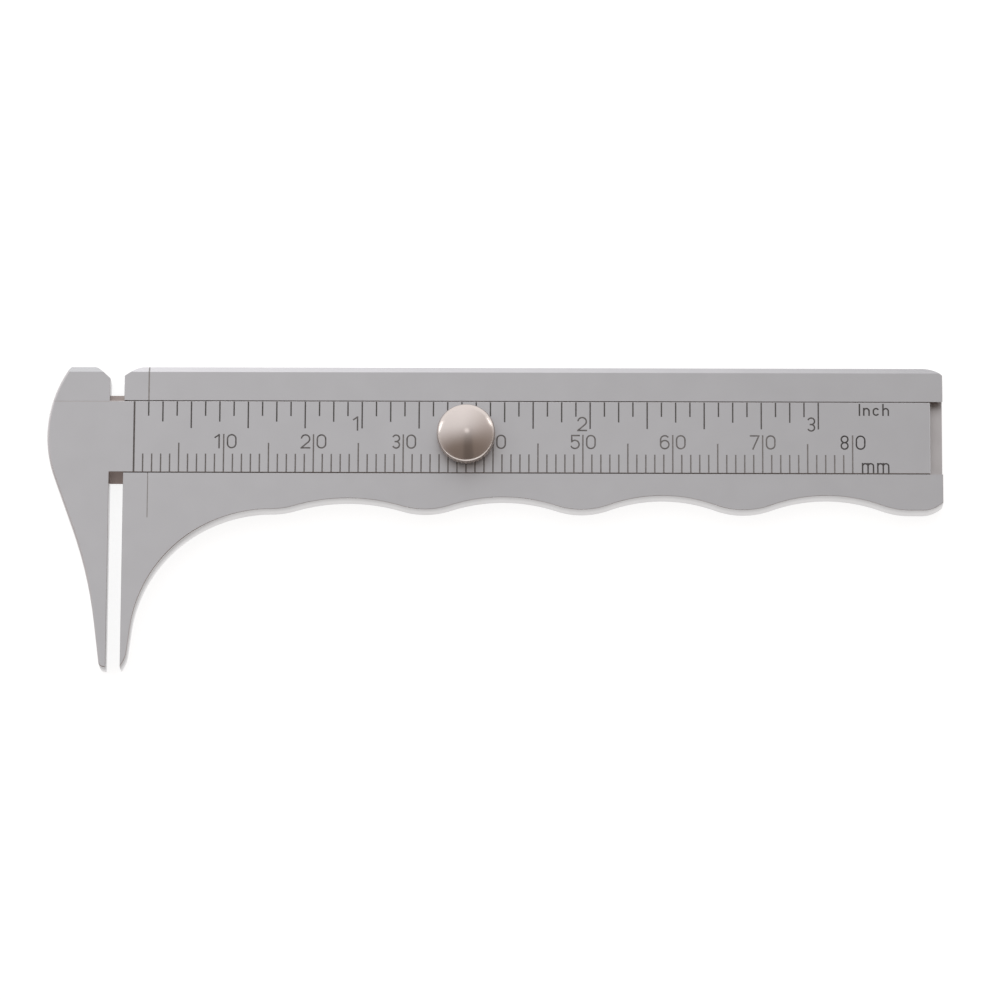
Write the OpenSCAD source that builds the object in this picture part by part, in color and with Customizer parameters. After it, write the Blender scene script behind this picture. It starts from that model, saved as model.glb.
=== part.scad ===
// Sliding surgical caliper, 80 mm and 3 inch, lying on its back with its scales up.
// Millimetres. X runs along the slide, +Y is the side away from the jaws' tips, +Z is the face.
// The origin is on the frame's back, on the slide's axis, halfway along the frame.

/* [Frame] */
// Thickness of the frame and of the moving head
frame_t = 3; // [2.8:0.1:4]
// Height of the top edge over the slide's axis
rail_top = 8.1; // [7.2:0.1:10]
// Depth of the scalloped edge's crests under the slide's axis
rail_bottom = 8.25; // [7.8:0.05:10]
// Width of the 45 degree bevel along the top edge
top_bevel = 0.7; // [0.3:0.05:0.9]
// Land between the last scallop and the right end
end_land = 3.7; // [3:0.1:8]
// Reach of the rounded right corners along the edges
end_corner_w = 2.3; // [1:0.1:2.8]
// Radius of the rounded right corners
end_corner_r = 3.3; // [3:0.1:6]
// Reach of the relieved corner over the fixed jaw
jaw_corner_w = 2.3; // [1.6:0.1:2.4]
// Lean of that corner's slope to the top edge, in degrees
jaw_corner_lean = 33.5; // [20:0.5:45]
// Radius between that slope and the top edge
jaw_corner_r = 2; // [0.5:0.1:2.2]

/* [Finger scallops] */
// Distance of the first crest from the fixed jaw's measuring face
first_crest_x = 16.5; // [15:0.1:20]
// Widths of the four scallops, from crest to crest
scallop_w = [17.1, 17.4, 18, 18.5]; // [15:0.1:20]
// Depths of the four scallops
scallop_d = [1.25, 1.4, 1.6, 1.65]; // [0.8:0.05:2]
// Radius of the crests between scallops
crest_r = 9; // [4:0.5:12]

/* [Jaws] */
// Reach of the jaws' tips under the slide's axis
jaw_reach = 26.2; // [24:0.1:30]
// Width of the fixed jaw where its tip starts to round
fixed_tip_w = 0.75; // [0.6:0.05:1]
// Height of the fixed jaw's rounded tip
fixed_tip_h = 1.7; // [1.2:0.1:2.2]
// Width of the moving jaw where its tip starts to round
moving_tip_w = 0.8; // [0.6:0.05:1]
// Height of the moving jaw's rounded tip
moving_tip_h = 0.5; // [0.4:0.1:1]
// Lean of the fixed jaw's outer edge near its tip, in degrees
fixed_lean = 7.2; // [5:0.2:9]
// Turn of the first, wider arc at the root of the fixed jaw, in degrees
root_turn = 49.5; // [42:0.5:52]
// Length of the straight edge next to the fixed jaw's tip
fixed_straight = 2.8; // [2:0.1:5]
// Depth of the moving head behind its measuring face
head_depth = 6.95; // [6.7:0.05:7.6]
// Radius of the moving head's round back
head_r = 13.8; // [12:0.1:14.5]
// Height of the widest place of the head over the slide's axis
head_mid_y = 0.1; // [-0.5:0.1:1]
// Lean of the moving jaw's outer edge at its root, in degrees
root_lean = 20; // [18:0.2:22]
// Lean of the moving jaw's outer edge near its tip, in degrees
moving_lean = 7.2; // [6:0.2:9]
// Radius of the hollow in the moving jaw's outer edge
hollow_r = 50; // [40:1:60]
// Reach of the head's relieved corner over its measuring face
head_corner_w = 1.8; // [1.2:0.1:2.2]
// Lean of that corner's slope to the top edge, in degrees
head_corner_lean = 43; // [30:0.5:50]
// Radius between that slope and the top edge
head_corner_r = 0.7; // [0.3:0.1:1.2]

/* [Slide] */
// Width of the slide at the face
slide_w = 8.1; // [7.6:0.1:8.6]
// Thickness of the slide's bar
slide_t = 1.75; // [1.6:0.05:1.9]
// Angle of the dovetail's flanks to the face, in degrees
dovetail_angle = 60; // [55:1:70]
// Running clearance between the slide and its channel, square to the faces
slide_gap = 0.05; // [0.02:0.01:0.1]
// Length of bar that stands out of the frame's right end with the jaws closed
bar_over = 0.2; // [0:0.1:1]
// Opening of the jaws as drawn: a sixteenth of an inch
rest_open = 1.5875; // [0:0.0125:3]

/* [Stop pin] */
// Diameter of the stop pin
pin_d = 1.2; // [0.8:0.1:1.6]
// Distance of the stop pin from the fixed jaw's measuring face
pin_x = 5; // [4.5:0.1:5.6]
// Clearance on each side of the pin in its groove
pin_groove_gap = 0.1; // [0.05:0.01:0.2]
// Depth of the groove for the pin in the slide's back
pin_groove_d = 0.5; // [0.3:0.05:0.6]
// Gap between the pin's top and the groove's roof
pin_top_gap = 0.07; // [0.03:0.01:0.1]
// Space left in the groove past the pin with the jaws closed
pin_free_end = 0.3; // [0.1:0.1:0.8]
// Clearance between a pressed or threaded piece and its hole, on the radius
seat_gap = 0.01; // [0.005:0.005:0.03]

/* [Friction spring] */
// Length of the bowed leaf
leaf_l = 7.6; // [6:0.1:8]
// Width of the leaf
leaf_w = 1.6; // [1.2:0.1:1.8]
// Thickness of the leaf
leaf_t = 0.15; // [0.1:0.01:0.2]
// Distance of the leaf from the slide's axis
leaf_y = 2.8; // [2.6:0.1:2.9]
// Depth of the leaf's pocket in the slide's back
pocket_d = 0.7; // [0.5:0.05:0.8]
// Clearance around the leaf in its pocket
leaf_gap = 0.15; // [0.1:0.01:0.25]
// Gap left between the leaf and what it bears on
leaf_touch = 0.02; // [0.01:0.01:0.04]
// Wall between the leaf's pocket and the bar's right end
pocket_end_wall = 1.2; // [0.8:0.1:2]

/* [Thumb knob] */
// Distance of the knob from the zero line
knob_x = 37; // [30:0.5:45]
// Diameter of the knurled rim
rim_d = 6.5; // [5.6:0.1:7]
// Height of the knurled rim
rim_h = 1.7; // [1:0.1:2]
// Width of the bevels on the rim's edges
rim_bevel = 0.15; // [0.1:0.05:0.3]
// Diameter of the neck under the rim
neck_d = 4.2; // [3.6:0.1:5]
// Height of the neck under the rim
neck_h = 0.7; // [0.5:0.1:1.4]
// Height of the dome over the rim
dome_h = 1.35; // [1.1:0.05:1.8]
// Depth of the rim's knurling
knurl_d = 0.12; // [0.05:0.01:0.14]
// Number of the rim's knurls
knurl_count = 44; // [30:2:60]
// Diameter of the stud that holds the knob
stud_d = 2; // [1.6:0.1:2.4]
// Length of the stud inside the knob
stud_in_knob = 2.1; // [1.6:0.1:2.4]
// Gap between the stud's lower end and the roof of the pin's groove
stud_end_gap = 0.05; // [0.05:0.05:0.2]

/* [Scales] */
// Distance of the zero line from the slide's measuring face
zero_x = 2.75; // [2.6:0.05:4]
// Bar that stays free of scale at its right end
scale_free_end = 6; // [5:0.1:8]
// Width of the scale marks
mark_w = 0.16; // [0.1:0.01:0.24]
// Width of the zero line
zero_w = 0.2; // [0.1:0.01:0.3]
// Gap between the marks and the slide's edge
mark_edge_gap = 0.04; // [0.02:0.01:0.1]
// Depth of the engraving
engrave_d = 0.06; // [0.04:0.01:0.1]
// Depth of the dark fill's surface under the face
fill_recess = 0.015; // [0.005:0.005:0.03]
// Length of the 1 mm marks
mm_len = 2.05; // [1.5:0.05:2.3]
// Length of the 5 mm marks
mm5_len = 3.3; // [2.6:0.05:3.6]
// Length of the 10 mm marks
mm10_len = 4.3; // [3.8:0.05:4.4]
// Length of the 1/16 inch marks
inch16_len = 1.65; // [1.2:0.05:2]
// Length of the 1/8 inch marks
inch8_len = 2.3; // [2:0.05:2.6]
// Length of the 1/4 inch marks and of all longer ones
inch4_len = 3.05; // [2.7:0.05:3.3]
// Width of the index line on the top rail
index_w = 0.16; // [0.1:0.01:0.24]
// Width of the index line on the bottom rail
low_index_w = 0.1; // [0.06:0.01:0.16]
// Length of the index line on the bottom rail
low_index_len = 5.1; // [4:0.1:6]

/* [Numerals] */
// Height of the numerals
digit_h = 1.65; // [1.3:0.05:1.75]
// Width of the numerals
digit_w = 1.1; // [0.9:0.05:1.2]
// Width of the numerals' strokes
pen = 0.17; // [0.12:0.01:0.22]
// Gap between a numeral and its mark
digit_gap = 0.26; // [0.15:0.01:0.35]
// Drop of the inch numerals under the end of their marks
inch_digit_drop = 0.26; // [0:0.02:0.3]
// Drop of "Inch" under the ends of the inch marks at the slide's edge
inch_label_drop = 0.1; // [0:0.02:0.2]
// Height of the capital and of the tall letter in "Inch"
cap_h = 1.38; // [1.1:0.02:1.45]
// Height of the small letters in "Inch"
small_h = 0.92; // [0.8:0.02:1]
// Height of the letters in "mm"
mm_letter_h = 1.16; // [0.8:0.02:1.2]
// Width of a letter n, c or h
letter_w = 0.76; // [0.6:0.02:0.8]
// Width of a letter m
m_w = 1.38; // [1.1:0.02:1.46]
// Gap between the letters
letter_gap = 0.31; // [0.2:0.01:0.35]
// Start of the labels past the last 10 mm mark
label_gap = 0.7; // [0.5:0.05:1]

/* [Hidden] */
$fn = 48;
inch = 25.4;
// Angle between the points of a drawn arc, in degrees
arc_step = 2;
// How far a cutting shape runs past what it cuts
over = 1;
steel = [0.70, 0.69, 0.70];
dark_fill = [0.25, 0.23, 0.22];

// Frame
scallops = len(scallop_w);
// X of each crest, from the fixed jaw's measuring face
crest_x = [for (i = [0:scallops]) first_crest_x + sum_to(scallop_w, i)];
frame_l = crest_x[scallops] + end_land;

// Slide: everything on it is drawn from its own measuring face, then moved by rest_open
bar_l = frame_l + bar_over;
flank_tan = 1 / tan(dovetail_angle);
back_z = frame_t - slide_t;
floor_z = back_z - slide_gap;
side_gap = slide_gap / sin(dovetail_angle);
mark_edge = slide_w / 2 - mark_edge_gap;
channel_edge = slide_w / 2 + side_gap;

// Scales: as many tens of millimetres and whole inches as the bar has room for
scale_mm = 10 * min(9, floor((bar_l - zero_x - scale_free_end) / 10));
scale_inches = floor(scale_mm / inch);
travel = scale_mm;

// Stop pin and its groove
pin_groove_w = pin_d + 2 * pin_groove_gap;
groove_roof_z = back_z + pin_groove_d;
groove_x0 = pin_x - pin_d / 2 - pin_free_end;
groove_x1 = pin_x + travel + pin_d / 2 + slide_gap;

// Friction spring and its pocket
pocket_l = leaf_l + 2 * leaf_gap;
pocket_w = leaf_w + 2 * leaf_gap;
pocket_x = bar_l - pocket_end_wall - pocket_l / 2;
leaf_rise = back_z + pocket_d - floor_z - 2 * leaf_touch;
leaf_r = (leaf_rise ^ 2 - leaf_t ^ 2 + leaf_l ^ 2 / 4) / (2 * (leaf_rise - leaf_t));

// Knob and stud
knob_centre = [zero_x + knob_x, 0];
rim_z = frame_t + neck_h;
dome_z = rim_z + rim_h;
dome_base_r = rim_d / 2 - rim_bevel;
dome_r = (dome_base_r ^ 2 + dome_h ^ 2) / (2 * dome_h);
stud_z0 = groove_roof_z + stud_end_gap;
stud_z1 = frame_t + stud_in_knob;

// Labels: "mm" ends under the end of "Inch"
label_x = zero_x + scale_mm + label_gap;
inch_label_w = pen + 3 * (letter_gap + letter_w);
mm_label_w = 2 * m_w + letter_gap;
cap_base_y = mark_edge - inch_label_drop - cap_h;

function sum_to(list, n) = n == 0 ? 0 : list[n - 1] + sum_to(list, n - 1);

// Points of an arc about a centre, from one angle to another
function arc(centre, r, from, to) =
    let (n = max(2, ceil(abs(to - from) / arc_step)))
    [for (i = [0:n]) let (a = from + (to - from) * i / n) centre + r * [cos(a), sin(a)]];

// The two lengths u and v for which u * a + v * b reaches the point c
function solve2(a, b, c) =
    let (det = a.x * b.y - a.y * b.x)
    [(c.x * b.y - c.y * b.x) / det, (a.x * c.y - a.y * c.x) / det];

// A jaw's place where the tip starts to round, and the round tip from there. Jaws are
// drawn on the +X side of a measuring face at X = 0.
fixed_tip = [fixed_tip_w, fixed_tip_h - jaw_reach];
moving_tip = [moving_tip_w, moving_tip_h - jaw_reach];
function round_tip(start, lean) =
    let (tip = [0, -jaw_reach],
         inward = [-cos(lean), sin(lean)],
         chord = tip - start,
         r = (chord * chord) / (2 * (chord * inward)),
         centre = start + r * inward,
         end = tip - centre)
    arc(centre, r, -lean, atan2(end.y, end.x));

// The corner over a measuring face: a slope up from the face, and an arc onto the top edge
function top_corner(w, lean, r) =
    let (run = w - r * sin(lean),
         drop = run * tan(lean) + r * (1 - cos(lean)))
    concat([[0, rail_top - drop]], arc([w, rail_top - r], r, 90 + lean, 90));

// Outer edge of the fixed jaw: two arcs from the first crest and a straight edge to the
// tip. Their radii follow from where the crest and the tip are.
function fixed_jaw_edge() =
    let (crest = [first_crest_x, -rail_bottom],
         end_turn = 90 - fixed_lean,
         unit_1 = -[sin(root_turn), 1 - cos(root_turn)],
         unit_2 = -[sin(end_turn) - sin(root_turn), cos(root_turn) - cos(end_turn)],
         straight = -fixed_straight * [sin(fixed_lean), cos(fixed_lean)],
         radii = solve2(unit_1, unit_2, fixed_tip - crest - straight),
         centre_1 = crest - [0, radii[0]],
         to_join = [cos(90 + root_turn), sin(90 + root_turn)],
         centre_2 = centre_1 + (radii[0] - radii[1]) * to_join)
    concat(arc(centre_1, radii[0], 90, 90 + root_turn),
           arc(centre_2, radii[1], 90 + root_turn, 90 + end_turn),
           round_tip(fixed_tip, fixed_lean));

// One scallop from its right crest to its left one: crest, hollow and crest, tangent
function scallop(i) =
    let (half = scallop_w[i] / 2,
         turn = 2 * atan(scallop_d[i] / half),
         hollow = half / sin(turn) - crest_r,
         crest_y = crest_r - rail_bottom,
         hollow_centre = [crest_x[i] + half, scallop_d[i] - rail_bottom - hollow])
    concat(arc([crest_x[i + 1], crest_y], crest_r, -90, -90 - turn),
           arc(hollow_centre, hollow, 90 - turn, 90 + turn),
           arc([crest_x[i], crest_y], crest_r, -90 + turn, -90));

// Outline of the frame's face, clockwise from the first crest
function frame_outline() =
    let (corner_a = acos(end_corner_w / end_corner_r),
         corner_x = frame_l - end_corner_w)
    concat(fixed_jaw_edge(),
           top_corner(jaw_corner_w, jaw_corner_lean, jaw_corner_r),
           arc([corner_x, rail_top - end_corner_r], end_corner_r, 90, corner_a),
           arc([corner_x, end_corner_r - rail_bottom], end_corner_r, -corner_a, -90),
           [for (i = [scallops - 1:-1:0]) each scallop(i)]);

// Outline of the moving head and jaw, drawn on the +X side of the measuring face. The
// two straight lengths beside the hollow follow from where the head and the tip are.
function head_outline() =
    let (centre = [head_depth - head_r, head_mid_y],
         top_a = asin((rail_top - head_mid_y) / head_r),
         root = centre + head_r * [cos(root_lean), -sin(root_lean)],
         hollow_step = hollow_r * [cos(root_lean) - cos(moving_lean),
                                   sin(moving_lean) - sin(root_lean)],
         down_1 = -[sin(root_lean), cos(root_lean)],
         down_2 = -[sin(moving_lean), cos(moving_lean)],
         straights = solve2(down_1, down_2, moving_tip - root - hollow_step),
         hollow_start = root + straights[0] * down_1,
         hollow_centre = hollow_start + hollow_r * [cos(root_lean), -sin(root_lean)])
    concat(top_corner(head_corner_w, head_corner_lean, head_corner_r),
           arc(centre, head_r, top_a, -root_lean),
           arc(hollow_centre, hollow_r, 180 - root_lean, 180 - moving_lean),
           round_tip(moving_tip, moving_lean));

// Section of the dovetail in Y and Z: half width at the face, bottom and top heights
function dovetail(half_w, z0, z1) =
    let (w0 = half_w + (frame_t - z0) * flank_tan,
         w1 = half_w + (frame_t - z1) * flank_tan)
    [[-w0, z0], [w0, z0], [w1, z1], [-w1, z1]];

// Top rail's face and bevel in Y and Z, a given depth under the surface
function rail_surface(depth, past) =
    [[channel_edge + mark_edge_gap, frame_t - depth],
     [rail_top - top_bevel - depth * (sqrt(2) - 1), frame_t - depth],
     [rail_top + past, frame_t - top_bevel - past - depth * sqrt(2)]];

// Moves a piece from the fixed jaw's measuring face to the origin
module on_frame() {
    translate([-frame_l / 2, 0, 0]) children();
}

// Moves a piece from the slide's own measuring face to its place with the jaws open
module on_slide() {
    translate([-frame_l / 2 - rest_open, 0, 0]) children();
}

// Extrudes a shape drawn in Y and Z along X
module along_x(x0, length) {
    translate([x0, 0, 0]) rotate([90, 0, 90]) linear_extrude(length) children();
}

// Cuts the long bevel off the top edge
module top_bevel_cut(x0, length) {
    along_x(x0, length)
        polygon([[rail_top - top_bevel - over, frame_t + over],
                 [rail_top + over, frame_t - top_bevel - over],
                 [rail_top + over, frame_t + over]]);
}

module frame() {
    color(steel) on_frame() difference() {
        linear_extrude(frame_t) polygon(frame_outline());
        along_x(-over, frame_l + 2 * over)
            polygon(dovetail(channel_edge, floor_z, frame_t + over));
        top_bevel_cut(-over, frame_l + 2 * over);
        translate([pin_x, 0, -over]) cylinder(h = frame_t, d = pin_d + 2 * seat_gap);
        along_x(zero_x - index_w / 2, index_w)
            polygon(concat(rail_surface(engrave_d, over),
                           [[rail_top + over, frame_t + over],
                            [channel_edge + mark_edge_gap, frame_t + over]]));
        translate([0, 0, frame_t - engrave_d]) linear_extrude(over) low_index();
    }
}

// The index line on the bottom rail
module low_index() {
    translate([zero_x - low_index_w / 2, -channel_edge - mark_edge_gap - low_index_len])
        square([low_index_w, low_index_len]);
}

module index_lines() {
    outer = rail_surface(fill_recess, 0);
    color(dark_fill) on_frame() {
        along_x(zero_x - index_w / 2, index_w)
            polygon(concat(rail_surface(engrave_d, 0), [outer[2], outer[1], outer[0]]));
        fill() low_index();
    }
}

module stop_pin() {
    color(steel) on_frame() translate([pin_x, 0, 0])
        cylinder(h = groove_roof_z - pin_top_gap, d = pin_d);
}

module slide() {
    color(steel) on_slide() difference() {
        union() {
            mirror([1, 0, 0]) linear_extrude(frame_t) polygon(head_outline());
            along_x(-head_corner_w, bar_l + head_corner_w)
                polygon(dovetail(slide_w / 2, back_z, frame_t));
        }
        top_bevel_cut(-head_depth - over, head_depth + 2 * over);
        translate([groove_x0, -pin_groove_w / 2, back_z - over])
            cube([groove_x1 - groove_x0, pin_groove_w, pin_groove_d + over]);
        translate([pocket_x - pocket_l / 2, leaf_y - pocket_w / 2, back_z - over])
            cube([pocket_l, pocket_w, pocket_d + over]);
        stud_hole();
        translate([0, 0, frame_t - engrave_d]) linear_extrude(over) {
            zero_shape();
            mm_mark_shapes();
            inch_mark_shapes();
            mm_numeral_shapes();
            inch_numeral_shapes();
            label_shapes();
        }
    }
}

// The stud's hole through the bar, and through the fill of a mark that reaches it
module stud_hole() {
    translate([knob_centre.x, knob_centre.y, back_z])
        cylinder(h = frame_t, d = stud_d + 2 * seat_gap);
}

// A leaf bowed downwards: its middle bears on the channel's floor, its ends on the roof
module friction_spring() {
    low_z = floor_z + leaf_touch;
    color(steel) on_slide() translate([pocket_x, leaf_y + leaf_w / 2, low_z])
        rotate([90, 0, 0]) linear_extrude(leaf_w) intersection() {
            translate([0, leaf_r]) difference() {
                circle(r = leaf_r);
                circle(r = leaf_r - leaf_t);
            }
            translate([-leaf_l / 2, -over]) square([leaf_l, leaf_rise + 2 * over]);
        }
}

module knob_stud() {
    color(steel) on_slide() translate([knob_centre.x, knob_centre.y, stud_z0])
        cylinder(h = stud_z1 - stud_z0, d = stud_d);
}

module thumb_knob() {
    color([0.78, 0.74, 0.69]) on_slide() translate([knob_centre.x, knob_centre.y, 0])
        difference() {
            union() {
                rim();
                intersection() {
                    translate([0, 0, dome_z + dome_h - dome_r]) sphere(r = dome_r);
                    translate([0, 0, rim_z]) cylinder(h = rim_h + dome_h + over, r = dome_base_r);
                }
            }
            translate([0, 0, frame_t - over])
                cylinder(h = stud_in_knob + seat_gap + over, d = stud_d + 2 * seat_gap);
        }
}

// The neck, and over it the knurled rim with a bevel on each edge
module rim() {
    difference() {
        rotate_extrude() polygon([
            [0, frame_t], [neck_d / 2, frame_t], [neck_d / 2, rim_z], [dome_base_r, rim_z],
            [rim_d / 2, rim_z + rim_bevel], [rim_d / 2, dome_z - rim_bevel],
            [dome_base_r, dome_z], [0, dome_z]]);
        for (i = [0:knurl_count - 1])
            rotate([0, 0, i * 360 / knurl_count])
                translate([rim_d / 2 - knurl_d, 0, rim_z - over]) rotate([0, 0, -45])
                    cube([2 * knurl_d, 2 * knurl_d, rim_h + 2 * over]);
    }
}

// Dark fill of an engraved shape
module fill() {
    translate([0, 0, frame_t - engrave_d]) linear_extrude(engrave_d - fill_recess) children();
}

module slide_fill() {
    color(dark_fill) on_slide() difference() {
        fill() children();
        stud_hole();
    }
}

// A mark up from the slide's lower edge, and one down from its upper edge
module lower_mark(x, length) {
    translate([zero_x + x - mark_w / 2, -mark_edge]) square([mark_w, length]);
}

module upper_mark(x, length) {
    translate([zero_x + x - mark_w / 2, mark_edge - length]) square([mark_w, length]);
}

module zero_shape() {
    translate([zero_x - zero_w / 2, -mark_edge]) square([zero_w, 2 * mark_edge]);
}

module mm_mark_shapes() {
    for (i = [1:scale_mm]) lower_mark(i, mm_mark_len(i));
}

function mm_mark_len(i) = i % 10 == 0 ? mm10_len : i % 5 == 0 ? mm5_len : mm_len;

module inch_mark_shapes() {
    for (i = [1:16 * scale_inches])
        upper_mark(i * inch / 16, i % 4 == 0 ? inch4_len : i % 2 == 0 ? inch8_len : inch16_len);
}

// A numeral's lower left corner stands digit_gap off its mark
module mm_numeral_shapes() {
    y = mm10_len - mark_edge - digit_h;
    beside = mark_w / 2 + digit_gap;
    for (i = [1:scale_mm / 10]) {
        translate([zero_x + 10 * i - beside - digit_w, y]) digit(i);
        translate([zero_x + 10 * i + beside, y]) digit(0);
    }
}

module inch_numeral_shapes() {
    y = mark_edge - inch4_len - inch_digit_drop;
    for (i = [1:scale_inches])
        translate([zero_x + i * inch - mark_w / 2 - digit_gap - digit_w, y]) digit(i);
}

module label_shapes() {
    translate([label_x, cap_base_y]) {
        square([pen, cap_h]);
        translate([pen + letter_gap, 0]) letter_n();
        translate([pen + letter_w + 2 * letter_gap, 0]) letter_c();
        translate([pen + 2 * letter_w + 3 * letter_gap, 0]) {
            letter_n();
            square([pen, cap_h]);
        }
    }
    translate([label_x + inch_label_w - mm_label_w, -mark_edge]) {
        letter_m();
        translate([m_w + letter_gap, 0]) letter_m();
    }
}

// A ring of the pen's width, and the part of one between two angles less than 180 apart
module ring(r) {
    difference() {
        circle(r = r);
        circle(r = r - pen);
    }
}

module ring_part(r, from, to) {
    middle = (from + to) / 2;
    intersection() {
        ring(r);
        polygon([[0, 0], 2 * r * [cos(from), sin(from)], 2 * r * [cos(middle), sin(middle)],
                 2 * r * [cos(to), sin(to)]]);
    }
}

// A straight stroke between two points of its middle line
module stroke(a, b) {
    side = pen / 2 * [a.y - b.y, b.x - a.x] / norm(b - a);
    polygon([a - side, b - side, b + side, a + side]);
}

// The numerals, each in a box from the origin to digit_w and digit_h
module digit(n) {
    if (n == 0) digit_0();
    if (n == 1) digit_1();
    if (n == 2) digit_2();
    if (n == 3) digit_3();
    if (n == 4) digit_4();
    if (n == 5) digit_5();
    if (n == 6) digit_6();
    if (n == 7) digit_7();
    if (n == 8) digit_8();
    if (n == 9) translate([digit_w, digit_h]) rotate(180) digit_6();
}

module digit_0() {
    difference() {
        oval(digit_w, digit_h);
        translate([pen, pen]) oval(digit_w - 2 * pen, digit_h - 2 * pen);
    }
}

// An upright shape with round ends, in a box from the origin
module oval(w, h) {
    r = w / 2;
    for (y = [r, h - r]) translate([r, y]) circle(r = r);
    translate([0, r]) square([w, h - w]);
}

module digit_1() {
    x = digit_w * 0.92;
    translate([x - pen, 0]) square([pen, digit_h]);
    stroke([x - pen / 2, digit_h - pen / 2], [digit_w * 0.38, digit_h * 0.74]);
}

module digit_2() {
    r = digit_w / 2;
    centre = [r, digit_h - r];
    start = -48;
    translate(centre) {
        ring_part(r, start, 91);
        ring_part(r, 90, 175);
    }
    stroke(centre + (r - pen / 2) * [cos(start), sin(start)], [pen / 2, pen / 2]);
    square([digit_w, pen]);
}

module digit_3() {
    r = (digit_h + pen) / 4;
    for (up = [0, 1]) translate([digit_w - r, up ? digit_h - r : r]) {
        ring_part(r, -90, 30);
        ring_part(r, 30, 90);
        if (up) ring_part(r, 90, 160);
        else ring_part(r, 200, 270);
    }
    translate([digit_w - r - pen, r * 2 - pen]) square([pen, pen]);
}

module digit_4() {
    x = digit_w * 0.8;
    y = digit_h * 0.3;
    translate([x - pen, 0]) square([pen, digit_h]);
    translate([0, y]) square([digit_w, pen]);
    stroke([x - pen / 2, digit_h - pen / 2], [pen / 2, y + pen / 2]);
}

module digit_5() {
    r = digit_w / 2;
    join = 140;
    lap = pen / 10;
    corner = [r + r * cos(join) - lap, r + (r - pen) * sin(join) - lap];
    translate([r, r]) {
        ring_part(r, 200, 291);
        ring_part(r, 290, 381);
        ring_part(r, 20, join);
    }
    translate(corner) square([pen, digit_h - corner.y]);
    translate([corner.x, digit_h - pen]) square([digit_w - corner.x, pen]);
}

module digit_6() {
    r = digit_w / 2;
    translate([r, r]) ring(r);
    translate([0, r]) square([pen, digit_h - 2 * r]);
    translate([r, digit_h - r]) {
        ring_part(r, 35, 91);
        ring_part(r, 90, 180);
    }
}

module digit_7() {
    translate([0, digit_h - pen]) square([digit_w, pen]);
    stroke([digit_w - pen / 2, digit_h - pen / 2], [digit_w * 0.3, 0]);
}

module digit_8() {
    r = (digit_h + pen) / 4;
    for (y = [r, digit_h - r]) translate([digit_w / 2, y]) ring(r);
}

module letter_n(h = small_h, w = letter_w) {
    r = w / 2;
    square([pen, h]);
    translate([r, h - r]) {
        ring_part(r, 0, 90);
        ring_part(r, 90, 180);
    }
    translate([w - pen, 0]) square([pen, h - r]);
}

module letter_c() {
    r = letter_w / 2;
    top = small_h - r;
    translate([r, top]) ring_part(r, 90, 180);
    translate([r, top]) ring_part(r, 30, 90);
    translate([r, r]) ring_part(r, 180, 270);
    translate([r, r]) ring_part(r, 270, 330);
    translate([0, r]) square([pen, top - r]);
}

module letter_m() {
    arch = (m_w + pen) / 2;
    letter_n(mm_letter_h, arch);
    translate([arch - pen, 0]) letter_n(mm_letter_h, arch);
}

module zero_line() slide_fill() zero_shape();
module mm_marks() slide_fill() mm_mark_shapes();
module inch_marks() slide_fill() inch_mark_shapes();
module mm_numerals() slide_fill() mm_numeral_shapes();
module inch_numerals() slide_fill() inch_numeral_shapes();
module unit_labels() slide_fill() label_shapes();

frame();
stop_pin();
slide();
friction_spring();
knob_stud();
thumb_knob();
zero_line();
mm_marks();
inch_marks();
mm_numerals();
inch_numerals();
unit_labels();
index_lines();
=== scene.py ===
"""A sliding surgical caliper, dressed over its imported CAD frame.

Sizes are in millimetres and follow the CAD source. A piece is drawn in millimetres and
brought to metres once it is whole. X runs along the slide, +Y points away from the jaws'
tips and +Z out of the scaled face. The origin is on the frame's back, on the slide's
axis, halfway along the frame.
"""

from __future__ import annotations

import logging
from dataclasses import dataclass
from enum import Enum
from math import acos, asin, atan, atan2, ceil, cos, degrees, pi, radians, sin, sqrt, tan
from typing import Callable, Iterable, Sequence

import bmesh
import bpy
from mathutils import Matrix, Vector

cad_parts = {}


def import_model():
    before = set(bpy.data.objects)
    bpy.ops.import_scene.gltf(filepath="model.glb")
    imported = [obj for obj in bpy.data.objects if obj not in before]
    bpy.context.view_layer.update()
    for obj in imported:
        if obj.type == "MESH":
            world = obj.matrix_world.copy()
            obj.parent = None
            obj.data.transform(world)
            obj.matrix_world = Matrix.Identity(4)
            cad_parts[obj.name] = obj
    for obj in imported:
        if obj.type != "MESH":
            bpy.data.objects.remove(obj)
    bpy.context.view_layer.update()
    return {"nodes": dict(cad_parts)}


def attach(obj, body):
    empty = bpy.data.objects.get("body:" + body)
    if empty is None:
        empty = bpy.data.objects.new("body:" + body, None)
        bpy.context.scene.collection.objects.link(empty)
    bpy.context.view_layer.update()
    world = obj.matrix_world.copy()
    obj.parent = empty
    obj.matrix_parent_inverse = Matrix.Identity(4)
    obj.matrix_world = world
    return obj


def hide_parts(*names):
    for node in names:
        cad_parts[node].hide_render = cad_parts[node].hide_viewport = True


Object = bpy.types.Object
Material = bpy.types.Material
Socket = bpy.types.NodeSocket
Sockets = bpy.types.NodeOutputs
Tree = bpy.types.NodeTree
Vert = bmesh.types.BMVert
Pair = tuple[float, float]
Triple = tuple[float, float, float]
Colour = Triple
Outline = Sequence[Vector]
Width = Callable[[Vector, Vector], float]

LOG = logging.getLogger("caliper")
MM = 0.001
INCH = 25.4
ROOT_2 = sqrt(2.0)
# Degrees between the points of an arc, as in the CAD source
ARC_STEP = 2.0
# Faces round a hole, and rows of faces round a broken edge
HOLE_STEPS = 48
EDGE_STEPS = 4
# How far a cutter reaches past what it cuts
OVER = 1.0
# Points this close are one: while a piece is drawn, and once it is whole
SAME_PLACE = 1e-4
SAME_POINT = 1e-5
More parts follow.
